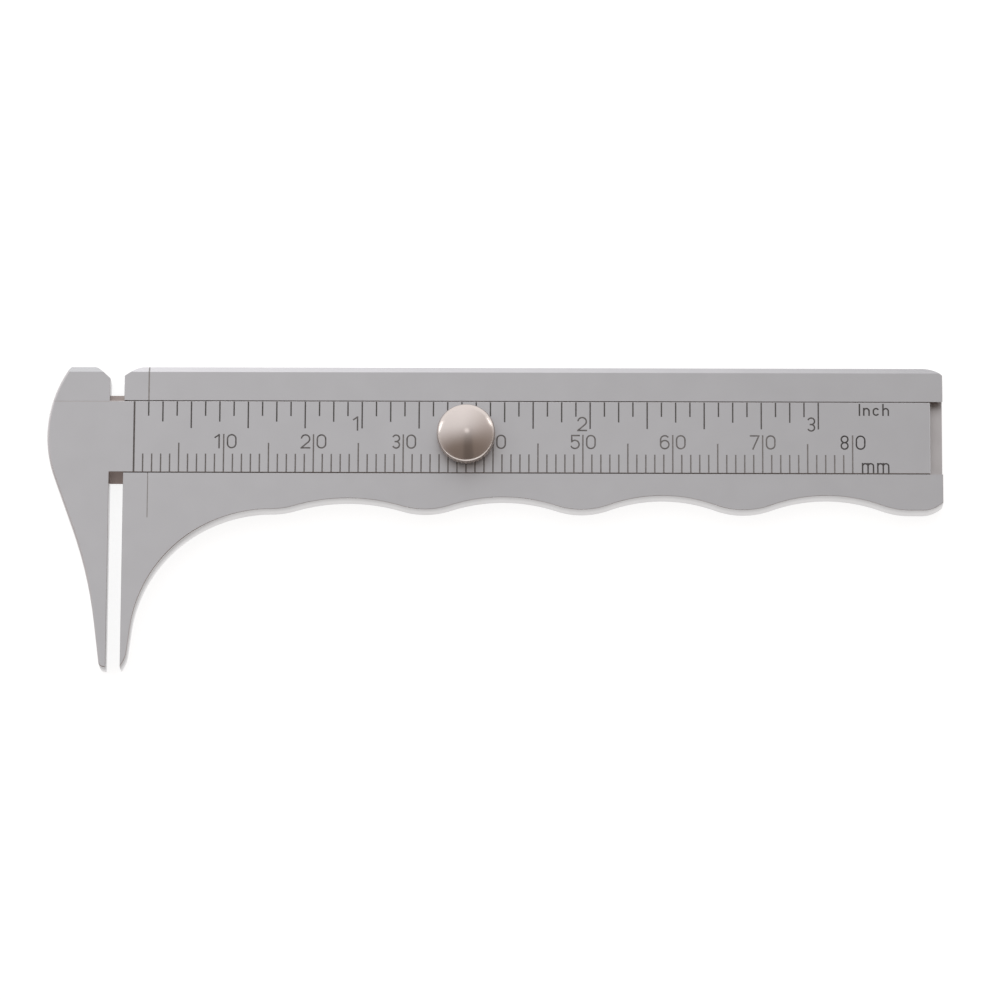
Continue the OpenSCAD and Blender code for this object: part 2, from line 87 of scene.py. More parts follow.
# Height over an engraving's floor from which its points count as its top
ABOVE_FLOOR = 1e-3
# The part of a noise's range that it fills, and how many sizes of mark it mixes
NOISE_ENDS = (0.3, 0.7)
COARSE, MIXED, FINE = 2.0, 3.0, 4.0
# Sine under which two edges run in one line, and the least cosine at such a corner
IN_LINE = 0.2
LEAST_COSINE = 0.5


class Merge(Enum):
    """How one solid is brought together with another."""

    ADD = "UNION"
    CUT = "DIFFERENCE"


class Body(Enum):
    """The CAD bodies that pieces ride on."""

    FRAME = "frame"
    SLIDE = "slide"


# ---------------------------------------------------------------- outlines


def towards(angle: float) -> Vector:
    """Returns the unit vector at an angle in degrees."""
    return Vector((cos(radians(angle)), sin(radians(angle))))


def arc(centre: Vector, radius: float, start: float, end: float) -> list[Vector]:
    """Points of an arc, spaced as in the CAD source.

    Args:
        centre: Its centre.
        radius: Its radius.
        start: First angle in degrees.
        end: Last angle in degrees.

    Returns:
        The points from the first angle to the last.
    """
    steps = max(2, ceil(abs(end - start) / ARC_STEP))
    turns = (start + (end - start) * i / steps for i in range(steps + 1))
    return [centre + radius * towards(turn) for turn in turns]


def solve_two(a: Vector, b: Vector, c: Vector) -> Pair:
    """Returns how far to go along a and then along b to reach c."""
    det = a.x * b.y - a.y * b.x
    return (c.x * b.y - c.y * b.x) / det, (a.x * c.y - a.y * c.x) / det


def without_doubles(points: Iterable[Vector]) -> list[Vector]:
    """Drops each point of a closed outline that repeats the one before it.

    Args:
        points: Points of the outline.

    Returns:
        The outline's own points.
    """
    kept: list[Vector] = []
    for point in points:
        if not kept or (point - kept[-1]).length > SAME_PLACE:
            kept.append(point)
    if (kept[0] - kept[-1]).length < SAME_PLACE:
        kept.pop()
    return kept


def inset(points: Outline, width: Width) -> list[Vector]:
    """Moves each edge of a counter-clockwise outline inwards.

    Two corners that would pass each other meet halfway.

    Args:
        points: The outline.
        width: Gives how far the edge between two points moves.

    Returns:
        The corners of the smaller outline, one for each point.
    """
    count = len(points)
    moved = []
    for i, point in enumerate(points):
        before, after = points[i - 1], points[(i + 1) % count]
        along_0, along_1 = (point - before).normalized(), (after - point).normalized()
        n0, n1 = Vector((-along_0.y, along_0.x)), Vector((-along_1.y, along_1.x))
        w0, w1 = width(before, point), width(point, after)
        det = n0.x * n1.y - n0.y * n1.x
        if abs(det) < IN_LINE:
            normal = (n0 + n1).normalized()
            step = normal * ((w0 + w1) / 2 / max(normal.dot(n0), LEAST_COSINE))
        else:
            step = Vector(((w0 * n1.y - w1 * n0.y) / det, (n0.x * w1 - n1.x * w0) / det))
        moved.append(point + step)
    for i in range(count):
        if (moved[i] - moved[i - 1]).dot(points[i] - points[i - 1]) < 0:
            moved[i - 1] = moved[i] = (moved[i - 1] + moved[i]) / 2
    return moved


# ---------------------------------------------------------------- meshes


def linked(name: str, data: bpy.types.ID) -> Object:
    """Adds an object to the scene.

    Args:
        name: Its name.
        data: The mesh, lamp or camera that it holds.

    Returns:
        The object.
    """
    made = bpy.data.objects.new(name, data)
    bpy.context.scene.collection.objects.link(made)
    return made


class Draft:
    """One mesh under construction, in millimetres."""

    def __init__(self, name: str, *materials: Material) -> None:
        """Starts an object of some materials, which faces name by their number."""
        self.name, self.materials = name, materials
        self.mesh = bmesh.new()

    def ring(self, points: Iterable[Sequence[float]]) -> list[Vert]:
        """Adds a closed row of vertices and returns them."""
        return [self.mesh.verts.new(p) for p in points]

    def face(self, verts: Sequence[Vert], material: int = 0) -> None:
        """Adds one face of a material. Its corners run counter-clockwise from outside."""
        self.mesh.faces.new(verts).material_index = material

    def tube(self, rings: Sequence[Sequence[Vert]], finishes: Sequence[Sequence[int]]) -> None:
        """Joins rings with four-sided faces and closes both ends.

        Args:
            rings: The rings, from the bottom up.
            finishes: Material numbers of the faces over each ring, repeated round it. The
                last of them serve the further rings too.
        """
        self.face(rings[0][::-1])
        for level, (low, high) in enumerate(zip(rings, rings[1:])):
            skin = finishes[min(level, len(finishes) - 1)]
            for i in range(len(low)):
                j = (i + 1) % len(low)
                self.face((low[i], low[j], high[j], high[i]), skin[i % len(skin)])
        self.face(rings[-1])

    def object(self) -> Object:
        """Makes the mesh an object of the scene, still in millimetres.

        Returns:
            The new object.
        """
        bmesh.ops.remove_doubles(self.mesh, verts=self.mesh.verts, dist=SAME_PLACE)
        bmesh.ops.recalc_face_normals(self.mesh, faces=self.mesh.faces)
        data = bpy.data.meshes.new(self.name)
        self.mesh.to_mesh(data)
        self.mesh.free()
        for material in self.materials:
            data.materials.append(material)
        return linked(self.name, data)

    def plate(self, outline: Outline, thickness: float, width: Width) -> Object:
        """Makes a flat plate with softly rounded edges on both faces.

        Its three materials are those of its faces, its edges and its wall.

        Args:
            outline: Its counter-clockwise outline.
            thickness: Its thickness.
            width: Gives the width of the edge break between two points.

        Returns:
            The plate, from z = 0 up.
        """
        count = len(outline)
        sides = [width(outline[i], outline[(i + 1) % count]) for i in range(count)]
        depths = [(sides[i - 1] + sides[i]) / 2 for i in range(count)]
        small = inset(outline, width)
        turns = [radians(90.0 * i / EDGE_STEPS) for i in range(EDGE_STEPS + 1)]

        def level(turn: float, up: bool) -> list[Vert]:
            """Adds the row of points at one turn of the rounded edge.

            Args:
                turn: How far the edge has turned there, in radians.
                up: Whether it is the upper edge.

            Returns:
                The row.
            """
            share, row = 1 - cos(turn), []
            for outer, inner, depth in zip(outline, small, depths):
                z = depth * (1 - sin(turn))
                row.append((*outer.lerp(inner, share), thickness - z if up else z))
            return self.ring(row)

        rings = [level(turn, False) for turn in reversed(turns)]
        rings += [level(turn, True) for turn in turns]
        self.tube(rings, [(1,)] * EDGE_STEPS + [(2,), (1,)])
        return self.object()

    def beam(
        self,
        section: Iterable[Sequence[float]],
        stations: Iterable[Pair],
        finish: Sequence[int] = (0,),
    ) -> Object:
        """Makes a straight bar along X.

        Args:
            section: Its counter-clockwise section in Y and Z.
            stations: Each a place along X and how far the section shrinks there.
            finish: The material number of each of the section's edges.

        Returns:
            The bar.
        """
        whole, rings = [Vector(p) for p in section], []
        for x, shrink in stations:
            row = inset(whole, lambda a, b, s=shrink: s) if shrink else whole
            rings.append(self.ring((x, *p) for p in row))
        self.tube(rings, [finish])
        return self.object()

    def block(self, low: Triple, high: Triple) -> Object:
        """Makes a block between its lowest and its highest corner."""
        corners = ((low[1], low[2]), (high[1], low[2]), (high[1], high[2]), (low[1], high[2]))
        return self.beam(corners, ((low[0], 0.0), (high[0], 0.0)))

    def turned(self, centre: Vector, profile: Iterable[Pair], segments: int) -> Object:
        """Makes a turned piece about an upright axis.

        Args:
            centre: Where its axis stands in X and Y.
            profile: Radius and height of each ring. A radius of 0 makes a pole.
            segments: How many faces go round it.

        Returns:
            The piece.
        """
        rows: list[list[Vert]] = []
        for radius, z in profile:
            turns = [360.0 * i / segments for i in (range(segments) if radius else range(1))]
            rows.append(self.ring((*(centre + radius * towards(turn)), z) for turn in turns))
        for low, high in zip(rows, rows[1:]):
            for i in range(segments):
                j = (i + 1) % segments
                ends = ((low, i), (low, j), (high, j), (high, i))
                self.face(list(dict.fromkeys(row[k % len(row)] for row, k in ends)))
        return self.object()

    def raised(self, node: Object, top: float) -> Object:
        """Makes the shape of a CAD node that fills an engraving, with its top moved up.

        Args:
            node: The CAD node, in metres.
            top: Height to which the shape reaches.

        Returns:
            The shape, in millimetres.
        """
        self.mesh.from_mesh(node.data)
        verts = self.mesh.verts
        bmesh.ops.transform(self.mesh, matrix=Matrix.Scale(1 / MM, 4), verts=verts)
        bmesh.ops.remove_doubles(self.mesh, verts=verts, dist=SAME_PLACE)
        floor = min(v.co.z for v in verts)
        for vert in verts:
            if vert.co.z > floor + ABOVE_FLOOR:
                vert.co.z = top
        return self.object()


def with_result(obj: Object, step: bpy.types.Modifier) -> Object:
    """Makes what a modifier gives an object's own mesh.

    Args:
        obj: The object.
        step: The modifier, which is removed.

    Returns:
        The same object.

    Raises:
        RuntimeError: The modifier leaves nothing.
    """
    seen = obj.evaluated_get(bpy.context.evaluated_depsgraph_get())
    result = bpy.data.meshes.new_from_object(seen)
    if not result.polygons:
        raise RuntimeError(f"nothing is left of {obj.name}")
    obj.modifiers.remove(step)
    old, obj.data = obj.data, result
    bpy.data.meshes.remove(old)
    return obj


def join(target: Object, how: Merge, *others: Object) -> None:
    """Adds or cuts solids, which are then deleted. Cut faces take their finish.

    Args:
        target: The solid that stays.
        how: Whether the others are added or cut away.
        others: The solids that are added or cut away.
    """
    for other in others:
        step = target.modifiers.new("join", "BOOLEAN")
        step.operation = how.value
        step.solver = "EXACT"
        step.material_mode = "TRANSFER"
        step.object = other
        with_result(target, step)
        data = other.data
        bpy.data.objects.remove(other)
        bpy.data.meshes.remove(data)


def finish_piece(obj: Object, crease: float = 34.0) -> Object:
    """Brings a piece to metres and shades it smooth between its sharp edges.

    An edge between two finishes stays sharp, so that flat faces stay flat beside a
    rounded edge.

    Args:
        obj: The piece, in millimetres.
        crease: Angle in degrees past which an edge stays sharp.

    Returns:
        The same piece.
    """
    shape = bmesh.new()
    shape.from_mesh(obj.data)
    bmesh.ops.remove_doubles(shape, verts=shape.verts, dist=SAME_POINT)
    bmesh.ops.dissolve_degenerate(shape, edges=shape.edges, dist=SAME_POINT)
    for face in shape.faces:
        face.smooth = True
    for edge in shape.edges:
        turn = edge.calc_face_angle(pi) if edge.is_manifold else pi
        alike = len({face.material_index for face in edge.link_faces}) == 1
        edge.smooth = alike and turn < radians(crease)
    bmesh.ops.transform(shape, matrix=Matrix.Scale(MM, 4), verts=shape.verts)
    shape.to_mesh(obj.data)
    shape.free()
    return obj


def settle(obj: Object, body: Body, node: str) -> None:
    """Hands a finished piece to its body and hides the node that it stands for.

    Args:
        obj: The piece, in metres.
        body: The body that it rides on.
        node: The CAD node that it replaces.
    """
    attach(obj, body.value)
    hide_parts(node)
    LOG.info("%s rides on %s: %d faces", obj.name, body.value, len(obj.data.polygons))


# ---------------------------------------------------------------- node trees


class Canvas:
    """Adds and joins the nodes of one tree."""

    def __init__(self, tree: Tree) -> None:
        """Works on a tree, which is emptied."""
        self.tree = tree
        tree.nodes.clear()

    def add(self, kind: str, inputs: dict | None = None, **settings: object) -> bpy.types.Node:
        """Adds a node.

        Args:
            kind: The node's type.
            inputs: Values or sockets by input name or number. A colour has three values.
            settings: The node's own settings.

        Returns:
            The new node.
        """
        node = self.tree.nodes.new(kind)
        for name, value in settings.items():
            setattr(node, name, value)
        for key, value in (inputs or {}).items():
            socket = node.inputs[key]
            if isinstance(value, Socket):
                self.tree.links.new(value, socket)
            elif isinstance(socket, bpy.types.NodeSocketColor):
                socket.default_value = (*value, 1.0)
            else:
                socket.default_value = value
        return node

    def get(self, kind: str, inputs: dict | None = None, **settings: object) -> Socket:
        """Adds a node and returns its first output."""
        return self.add(kind, inputs, **settings).outputs[0]

    def math(self, operation: str, *values: object) -> Socket:
        """Adds a Math node for numbers or sockets and returns its result."""
        return self.get("ShaderNodeMath", dict(enumerate(values)), operation=operation)

    def vector(self, operation: str, inputs: dict, output: str = "Vector") -> Socket:
        """Adds a Vector Math node and returns one of its outputs."""
        return self.add("ShaderNodeVectorMath", inputs, operation=operation).outputs[output]

    def split(self, vector: Socket) -> Sockets:
        """Adds a Separate XYZ node and returns its outputs."""
        return self.add("ShaderNodeSeparateXYZ", {0: vector}).outputs

    def combine(self, **parts: object) -> Socket:
        """Adds a Combine XYZ node with some of X, Y and Z."""
        return self.get("ShaderNodeCombineXYZ", parts)

    def mix(self, share: Socket, low: object, high: object, kind: str = "RGBA") -> Socket:
        """Adds a Mix node of two colours or numbers and returns its result."""
        inputs = {"Factor": share, "A": low, "B": high}
        return self.add("ShaderNodeMix", inputs, data_type=kind).outputs["Result"]

    def noise(self, vector: Socket, scale: float, detail: float) -> Socket:
        """Adds a Noise Texture and returns its Fac socket."""
        return self.get("ShaderNodeTexNoise", {"Vector": vector, "Scale": scale, "Detail": detail})

    def range(
        self, value: Socket, ends: Sequence[float], results: Sequence[float], **settings: str
    ) -> Socket:
        """Adds a Map Range node.

        Args:
            value: What it maps.
            ends: The values between which it maps.
            results: What it gives at them.
            settings: The node's own settings.

        Returns:
            The result's socket.
        """
        names = ("From Min", "From Max", "To Min", "To Max")
        inputs = {"Value": value, **dict(zip(names, (*ends, *results)))}
        return self.get("ShaderNodeMapRange", inputs, **settings)

    def spread(self, noise: Socket, low: float, high: float) -> Socket:
        """Maps the middle of a noise to a range and returns the result."""
        return self.range(noise, NOISE_ENDS, (low, high))

    def ramp(self, place: Socket, axis: str, ends: Sequence[float], results: Sequence) -> Socket:
        """Ramps a value between two places on an axis of the caliper, in millimetres."""
        return self.range(self.split(place)[axis], [end * MM for end in ends], results)

    def along(self, place: Socket, low: float, high: float) -> Socket:
        """Ramps a value from the jaws' end of the caliper to its plain end."""
        return self.ramp(place, "X", (-Layout.frame_l / 2, Layout.frame_l / 2), (low, high))

    def surface(self, inputs: dict, height: Socket, relief: float) -> None:
        """Ends a material's tree with its shader.

        Args:
            inputs: The shader's inputs.
            height: The grain that stands out of the surface.
            relief: How far it stands out, in millimetres.
        """
        bump = self.get("ShaderNodeBump", {"Height": height, "Distance": relief * MM})
        shader = self.get("ShaderNodeBsdfPrincipled", {**inputs, "Normal": bump})
        self.add("ShaderNodeOutputMaterial", {"Surface": shader})

    def plain(self, geometry: Socket, *coats: dict) -> Tree:
        """Ends a Geometry Nodes tree with plain faces and their materials.

        Args:
            geometry: What the tree makes.
            coats: Each the inputs of a Set Material node.

        Returns:
            The tree.
        """
        geometry = self.get("GeometryNodeRealizeInstances", {"Geometry": geometry})
        for coat in coats:
            geometry = self.get("GeometryNodeSetMaterial", {"Geometry": geometry, **coat})
        self.add("NodeGroupOutput", {"Geometry": geometry})
        return self.tree


def new_material(name: str) -> tuple[Material, Canvas]:
    """Starts a material.

    Args:
        name: Its name.

    Returns:
        The material and its empty tree.
    """
    made = bpy.data.materials.new(name)
    made.use_nodes = True
    return made, Canvas(made.node_tree)


def new_geometry(name: str, **inputs: Sequence[str]) -> tuple[Canvas, Sockets]:
    """Starts a Geometry Nodes tree.

    Args:
        name: Its name.
        inputs: Names of its inputs by their kind.

    Returns:
        The tree and the sockets of its inputs.
    """
    tree = bpy.data.node_groups.new(name, "GeometryNodeTree")
    tree.interface.new_socket("Geometry", in_out="OUTPUT", socket_type="NodeSocketGeometry")
    for kind, names in inputs.items():
        for each in names:
            tree.interface.new_socket(each, in_out="INPUT", socket_type=f"NodeSocket{kind}")
    canvas = Canvas(tree)
    return canvas, canvas.add("NodeGroupInput").outputs


def grown(name: str, tree: Tree, values: dict, source: Object | None) -> Object:
    """Runs a Geometry Nodes tree and keeps its result as a plain mesh.

    Args:
        name: Name of the result.
        tree: The tree.
        values: Its inputs by name.
        source: The object that it works on, or None to start from nothing.

    Returns:
        The object with the resulting mesh and no modifier.
    """
    source = source or linked(name, bpy.data.meshes.new(name))
    step = source.modifiers.new("grow", "NODES")
    step.node_group = tree
    for item in tree.interface.items_tree:
        if item.in_out == "INPUT" and item.name in values:
            step[item.identifier] = values[item.name]
    with_result(source, step).data.name = name
    return source


# ---------------------------------------------------------------- finishes


@dataclass(frozen=True)
class PaintedSideShade:
    """Painted shade on a side: how its colour falls from its foot to the face's edge, lighter at
    the foot and darker towards the top.
    """

    foot: float
    top: float
    # Height over which it falls
    height: float


@dataclass(frozen=True)
class MetalFinish:
    """A bare metal surface with a fine grain, soft mottling and uneven gloss, and, where given,
    painted light and shade.
    """

    name: str
    colour: Colour
    roughness: float
    # Sizes of the grain's marks along X, Y and Z, and how far they stand out
    grain: Triple
    relief: float
    # Shares by which the colour and the roughness vary
    play: Pair = (0.03, 0.04)
    # Size of the mottling, and how much finer the gloss varies
    mottle: float = 6.0
    gloss_detail: float = 2.5
    # Share by which the colour falls towards the plain end: painted light, lighter at the jaws'
    # end than at the plain end
    painted_light_falloff: float = 0.0
    # Painted shade of the rails' sides and of the jaws' sides, which blend over the jaws' roots:
    # each side darker towards the face's edge
    sides: tuple[PaintedSideShade, PaintedSideShade] | None = None

    def material(self) -> Material:
        """Builds the finish's material.

        Returns:
            The material.
        """
        made, canvas = new_material(self.name)
        place = canvas.add("ShaderNodeTexCoord").outputs["Object"]
        stretch = tuple(1 / (size * MM) for size in self.grain)
        marks = canvas.get("ShaderNodeMapping", {"Vector": place, "Scale": stretch})
        fine = canvas.noise(marks, 1.0, MIXED)
        broad = canvas.spread(canvas.noise(place, 1 / (self.mottle * MM), FINE), 0.0, 1.0)
        colour_play, gloss_play = self.play
        shades = ([c * level for c in self.colour] for level in (1 - colour_play, 1 + colour_play))
        tint = canvas.mix(broad, *shades)
        shares = []
        # Painted light: the colour falls from the jaws' end to the plain end
        if self.painted_light_falloff:
            shares.append(canvas.along(place, 1.0, 1 - self.painted_light_falloff))
        # Painted shade: each side's colour falls from its foot to the face's edge
        if self.sides:
            size = Layout()
            root = canvas.ramp(place, "Y", (size.jaw_break_to, size.jaw_break_from), (1.0, 0.0))
            side_shades = []
            for side_shade in self.sides:
                ends = (size.thickness - side_shade.height, size.thickness)
                side_shades.append(canvas.ramp(place, "Z", ends, (side_shade.foot, side_shade.top)))
            shares.append(canvas.mix(root, *side_shades, "FLOAT"))
        for share in shares:
            tint = canvas.vector("SCALE", {0: tint, "Scale": share})
        gloss = canvas.spread(
            canvas.noise(place, self.gloss_detail / (self.mottle * MM), MIXED),
            self.roughness - gloss_play,
            self.roughness + gloss_play,
        )
        inputs = {"Base Color": tint, "Metallic": 1.0, "Roughness": gloss}
        canvas.surface(inputs, fine, self.relief)
        return made


@dataclass(frozen=True)
class FillFinish:
    """Dark matt enamel that fills the engraving, thin in places and towards the plain end."""

    name: str
    colour: Colour
    thin_colour: Colour
    # How full the last figures before the plain end are again, and where that starts and ends
    last_full: float = 0.0
    last_x: Pair = (28.5, 33.0)
    roughness: float = 0.6
    # Share of the thinning that comes in patches, their size, and the grit's size and height
    patch_share: float = 0.5
    patch: float = 0.5
    grit: float = 0.04
    relief: float = 0.004

    def material(self) -> Material:
        """Builds the finish's material.

        Returns:
            The material.
        """
        made, canvas = new_material(self.name)
        place = canvas.add("ShaderNodeTexCoord").outputs["Object"]
        patch = canvas.noise(place, 1 / (self.patch * MM), MIXED)
        patch = canvas.spread(patch, 0.0, self.patch_share)
        thin = canvas.math("ADD", patch, canvas.along(place, 0.0, 1 - self.patch_share))
        full = canvas.ramp(place, "X", self.last_x, (0.0, self.last_full))
        tint = canvas.mix(canvas.math("SUBTRACT", thin, full), self.colour, self.thin_colour)
        grit = canvas.noise(place, 1 / (self.grit * MM), COARSE)
        canvas.surface({"Base Color": tint, "Roughness": self.roughness}, grit, self.relief)
        return made


@dataclass(frozen=True)
class Finishes:
    """Every finish of the caliper, as materials."""

    satin: Material
    edge: Material
    contour: Material
    bevel: Material
    milled: Material
    flank: Material
    knob: Material
    rim: Material
    spring: Material
    fill: Material
    figure_fill: Material
    inch_fill: Material
    zero_fill: Material
    index_fill: Material
    label_fill: Material

    @classmethod
    def build(cls) -> Finishes:
        """Builds all of them.

        Returns:
            The set.
        """
        even, drawn, fine = (0.07, 0.07, 0.07), (3.0, 0.05, 0.05), (0.012, 0.015)
        # Painted shade of the sides: rails' and jaws' sides darker at the face's edge than at the
        # foot
        side_shades = (PaintedSideShade(1.0, 0.6, 1.7), PaintedSideShade(1.16, 0.34, 2.6))
        satin = (0.64, 0.645, 0.662)
        edge = (0.62, 0.60, 0.605)
        contour = (0.67, 0.66, 0.665)
        bevel = (0.76, 0.755, 0.78)
        knob = (0.68, 0.615, 0.58)
        finishes = (
            # The satin faces carry a painted fall of light towards the plain end
            MetalFinish("satin steel", satin, 0.48, even, 0.0012, fine, painted_light_falloff=0.1),
            MetalFinish("worn steel edge", edge, 0.28, (0.2, 0.2, 0.2), 0.0004, (0.02, 0.02)),
            MetalFinish("contour steel", contour, 0.32, even, 0.0008, (0.02, 0.02), sides=side_shades),
            # The ground bevel's colour, above the satin's, and its steep fall towards the plain
            # end paint the highlight that it catches at the jaws' end
            MetalFinish("ground bevel with painted highlight", bevel, 0.48, even, 0.0012, fine, painted_light_falloff=0.32),
            MetalFinish("milled steel", (0.6, 0.585, 0.585), 0.46, drawn, 0.002),
            # Painted shade: the dovetail's flanks, in the narrow gap between the slide and the
            # rails, take a dark brown far below bare steel in place of the shade there
            MetalFinish("shaded dovetail flank", (0.3, 0.24, 0.22), 0.42, drawn, 0.002),
            MetalFinish("turned knob", knob, 0.19, (0.3, 0.3, 0.05), 0.0004, (0.015, 0.02)),
            # The knurled rim's colour, lighter than the knob's own steel, is painted light that
            # lifts its shaded band; its higher roughness is the knurling's own
            MetalFinish("knurled rim", (0.82, 0.74, 0.69), 0.42, (0.05, 0.05, 0.3), 0.002),
            MetalFinish("spring steel", (0.55, 0.55, 0.56), 0.22, (0.4, 0.05, 0.05), 0.0006),
            FillFinish("dark fill", (0.098, 0.09, 0.087), (0.203, 0.195, 0.192)),
            FillFinish("dark figure fill", (0.04, 0.037, 0.036), (0.2, 0.192, 0.188), 0.8),
            FillFinish("dark inch fill", (0.046, 0.042, 0.04), (0.09, 0.085, 0.083)),
            FillFinish("black zero fill", (0.073, 0.065, 0.061), (0.127, 0.118, 0.115)),
            FillFinish("thin index fill", (0.206, 0.197, 0.191), (0.303, 0.294, 0.288)),
            FillFinish("black label fill", (0.035, 0.032, 0.031), (0.055, 0.051, 0.05)),
        )
        return cls(*(finish.material() for finish in finishes))


# ---------------------------------------------------------------- sizes in common


@dataclass(frozen=True)
class Layout:
    """Sizes that more than one piece goes by."""

    thickness: float = 3.0
    rail_top: float = 8.1
    rail_bottom: float = 8.25
    top_bevel: float = 0.7
    jaw_reach: float = 26.2
    slide_w: float = 8.1
    slide_t: float = 1.75
    dovetail_angle: float = 60.0
    slide_gap: float = 0.05
    bar_over: float = 0.2
    rest_open: float = 1.5875
    frame_l: float = 91.2
    zero_x: float = 2.75
    mark_edge_gap: float = 0.04
    engrave_d: float = 0.06
    fill_recess: float = 0.015
    knob_x: float = 37.0
    stud_d: float = 2.0
    pin_x: float = 5.0
    pin_d: float = 1.2
    seat_gap: float = 0.01
    # Edge breaks: of outer edges, of measuring edges, along the jaws and along the dovetail
    edge_break: float = 0.055
    measuring_break: float = 0.05
    jaw_break: float = 0.12
    dovetail_break: float = 0.04
    # Y between which the outer edges' break widens to the jaws' one
    jaw_break_from: float = -8.6
    jaw_break_to: float = -11.5
    # Growth of the edge break for each millimetre away from the measuring face
    tip_taper: float = 0.6

    @property
    def frame_x(self) -> float:
        """X of the fixed jaw's measuring face."""
        return -self.frame_l / 2

    @property
    def slide_x(self) -> float:
        """X of the moving jaw's measuring face at rest."""
        return -self.frame_l / 2 - self.rest_open

    @property
    def channel_edge(self) -> float:
        """Half the channel's width at the face."""
        return self.slide_w / 2 + self.slide_gap / sin(radians(self.dovetail_angle))

    @property
    def back_z(self) -> float:
        """Height of the bar's back."""
        return self.thickness - self.slide_t

    @property
    def floor_z(self) -> float:
        """Height of the channel's floor."""
        return self.back_z - self.slide_gap

    def flank(self, half: float, z: float) -> float:
        """Half a dovetail's width at a height, from half its width at the face."""
        return half + (self.thickness - z) / tan(radians(self.dovetail_angle))

    def round_tip(self, start: Vector, lean: float) -> list[Vector]:
        """The round tip of a jaw on the +X side of its measuring face.

        Args:
            start: Where it starts to round.
            lean: Lean of the jaw's outer edge, in degrees.

        Returns:
            The tip's points, from the outer edge to the measuring face.
        """
        inward = -towards(-lean)
        chord = Vector((0.0, -self.jaw_reach)) - start
        radius = chord.dot(chord) / (2 * chord.dot(inward))
        centre = start + radius * inward
        end = Vector((0.0, -self.jaw_reach)) - centre
        return arc(centre, radius, -lean, degrees(atan2(end.y, end.x)))

    def edge_width(self, a: Vector, b: Vector) -> float:
        """Width of the edge break between two points of a jaw's outline.

        Args:
            a: One point.
            b: The next point.

        Returns:
            The narrow width on the measuring face at X = 0, else one that grows down the jaw
            and away from that face.
        """
        if abs(a.x) < SAME_PLACE and abs(b.x) < SAME_PLACE:
            return self.measuring_break
        down = ((a.y + b.y) / 2 - self.jaw_break_from) / (self.jaw_break_to - self.jaw_break_from)
        share = min(1.0, max(0.0, down))
        share *= share * (3 - 2 * share)
        wide = self.edge_break + share * (self.jaw_break - self.edge_break)
        return min(wide, self.measuring_break + self.tip_taper * (abs(a.x) + abs(b.x)) / 2)

    def top_corner(self, reach: float, lean: float, radius: float) -> list[Vector]:
        """The relieved corner over a measuring face, on its +X side.

        Args:
            reach: How far the corner reaches along the top edge.
            lean: Lean of its slope to the top edge, in degrees.
            radius: Radius between the slope and the top edge.

        Returns:
            Its points, from the measuring face to the top edge.
        """
        turn = radians(lean)
        run = reach - radius * sin(turn)
        drop = run * tan(turn) + radius * (1 - cos(turn))
        start = Vector((0.0, self.rail_top - drop))
        return [start] + arc(Vector((reach, self.rail_top - radius)), radius, 90 + lean, 90)

    def bevel_cutter(self, x0: float, x1: float, material: Material) -> Object:
        """The wedge that takes the long bevel off the top edge.

        Args:
            x0: Where it starts.
            x1: Where it ends.
            material: The finish that it leaves.

        Returns:
            The cutter.
        """
        past, high = self.rail_top + OVER, self.thickness + OVER
        inner, low = self.rail_top - self.top_bevel - OVER, self.thickness - self.top_bevel - OVER
        section = ((inner, high), (past, low), (past, high))
        return Draft("bevel cutter", material).beam(section, ((x0, 0.0), (x1, 0.0)))


# ---------------------------------------------------------------- sub-assemblies


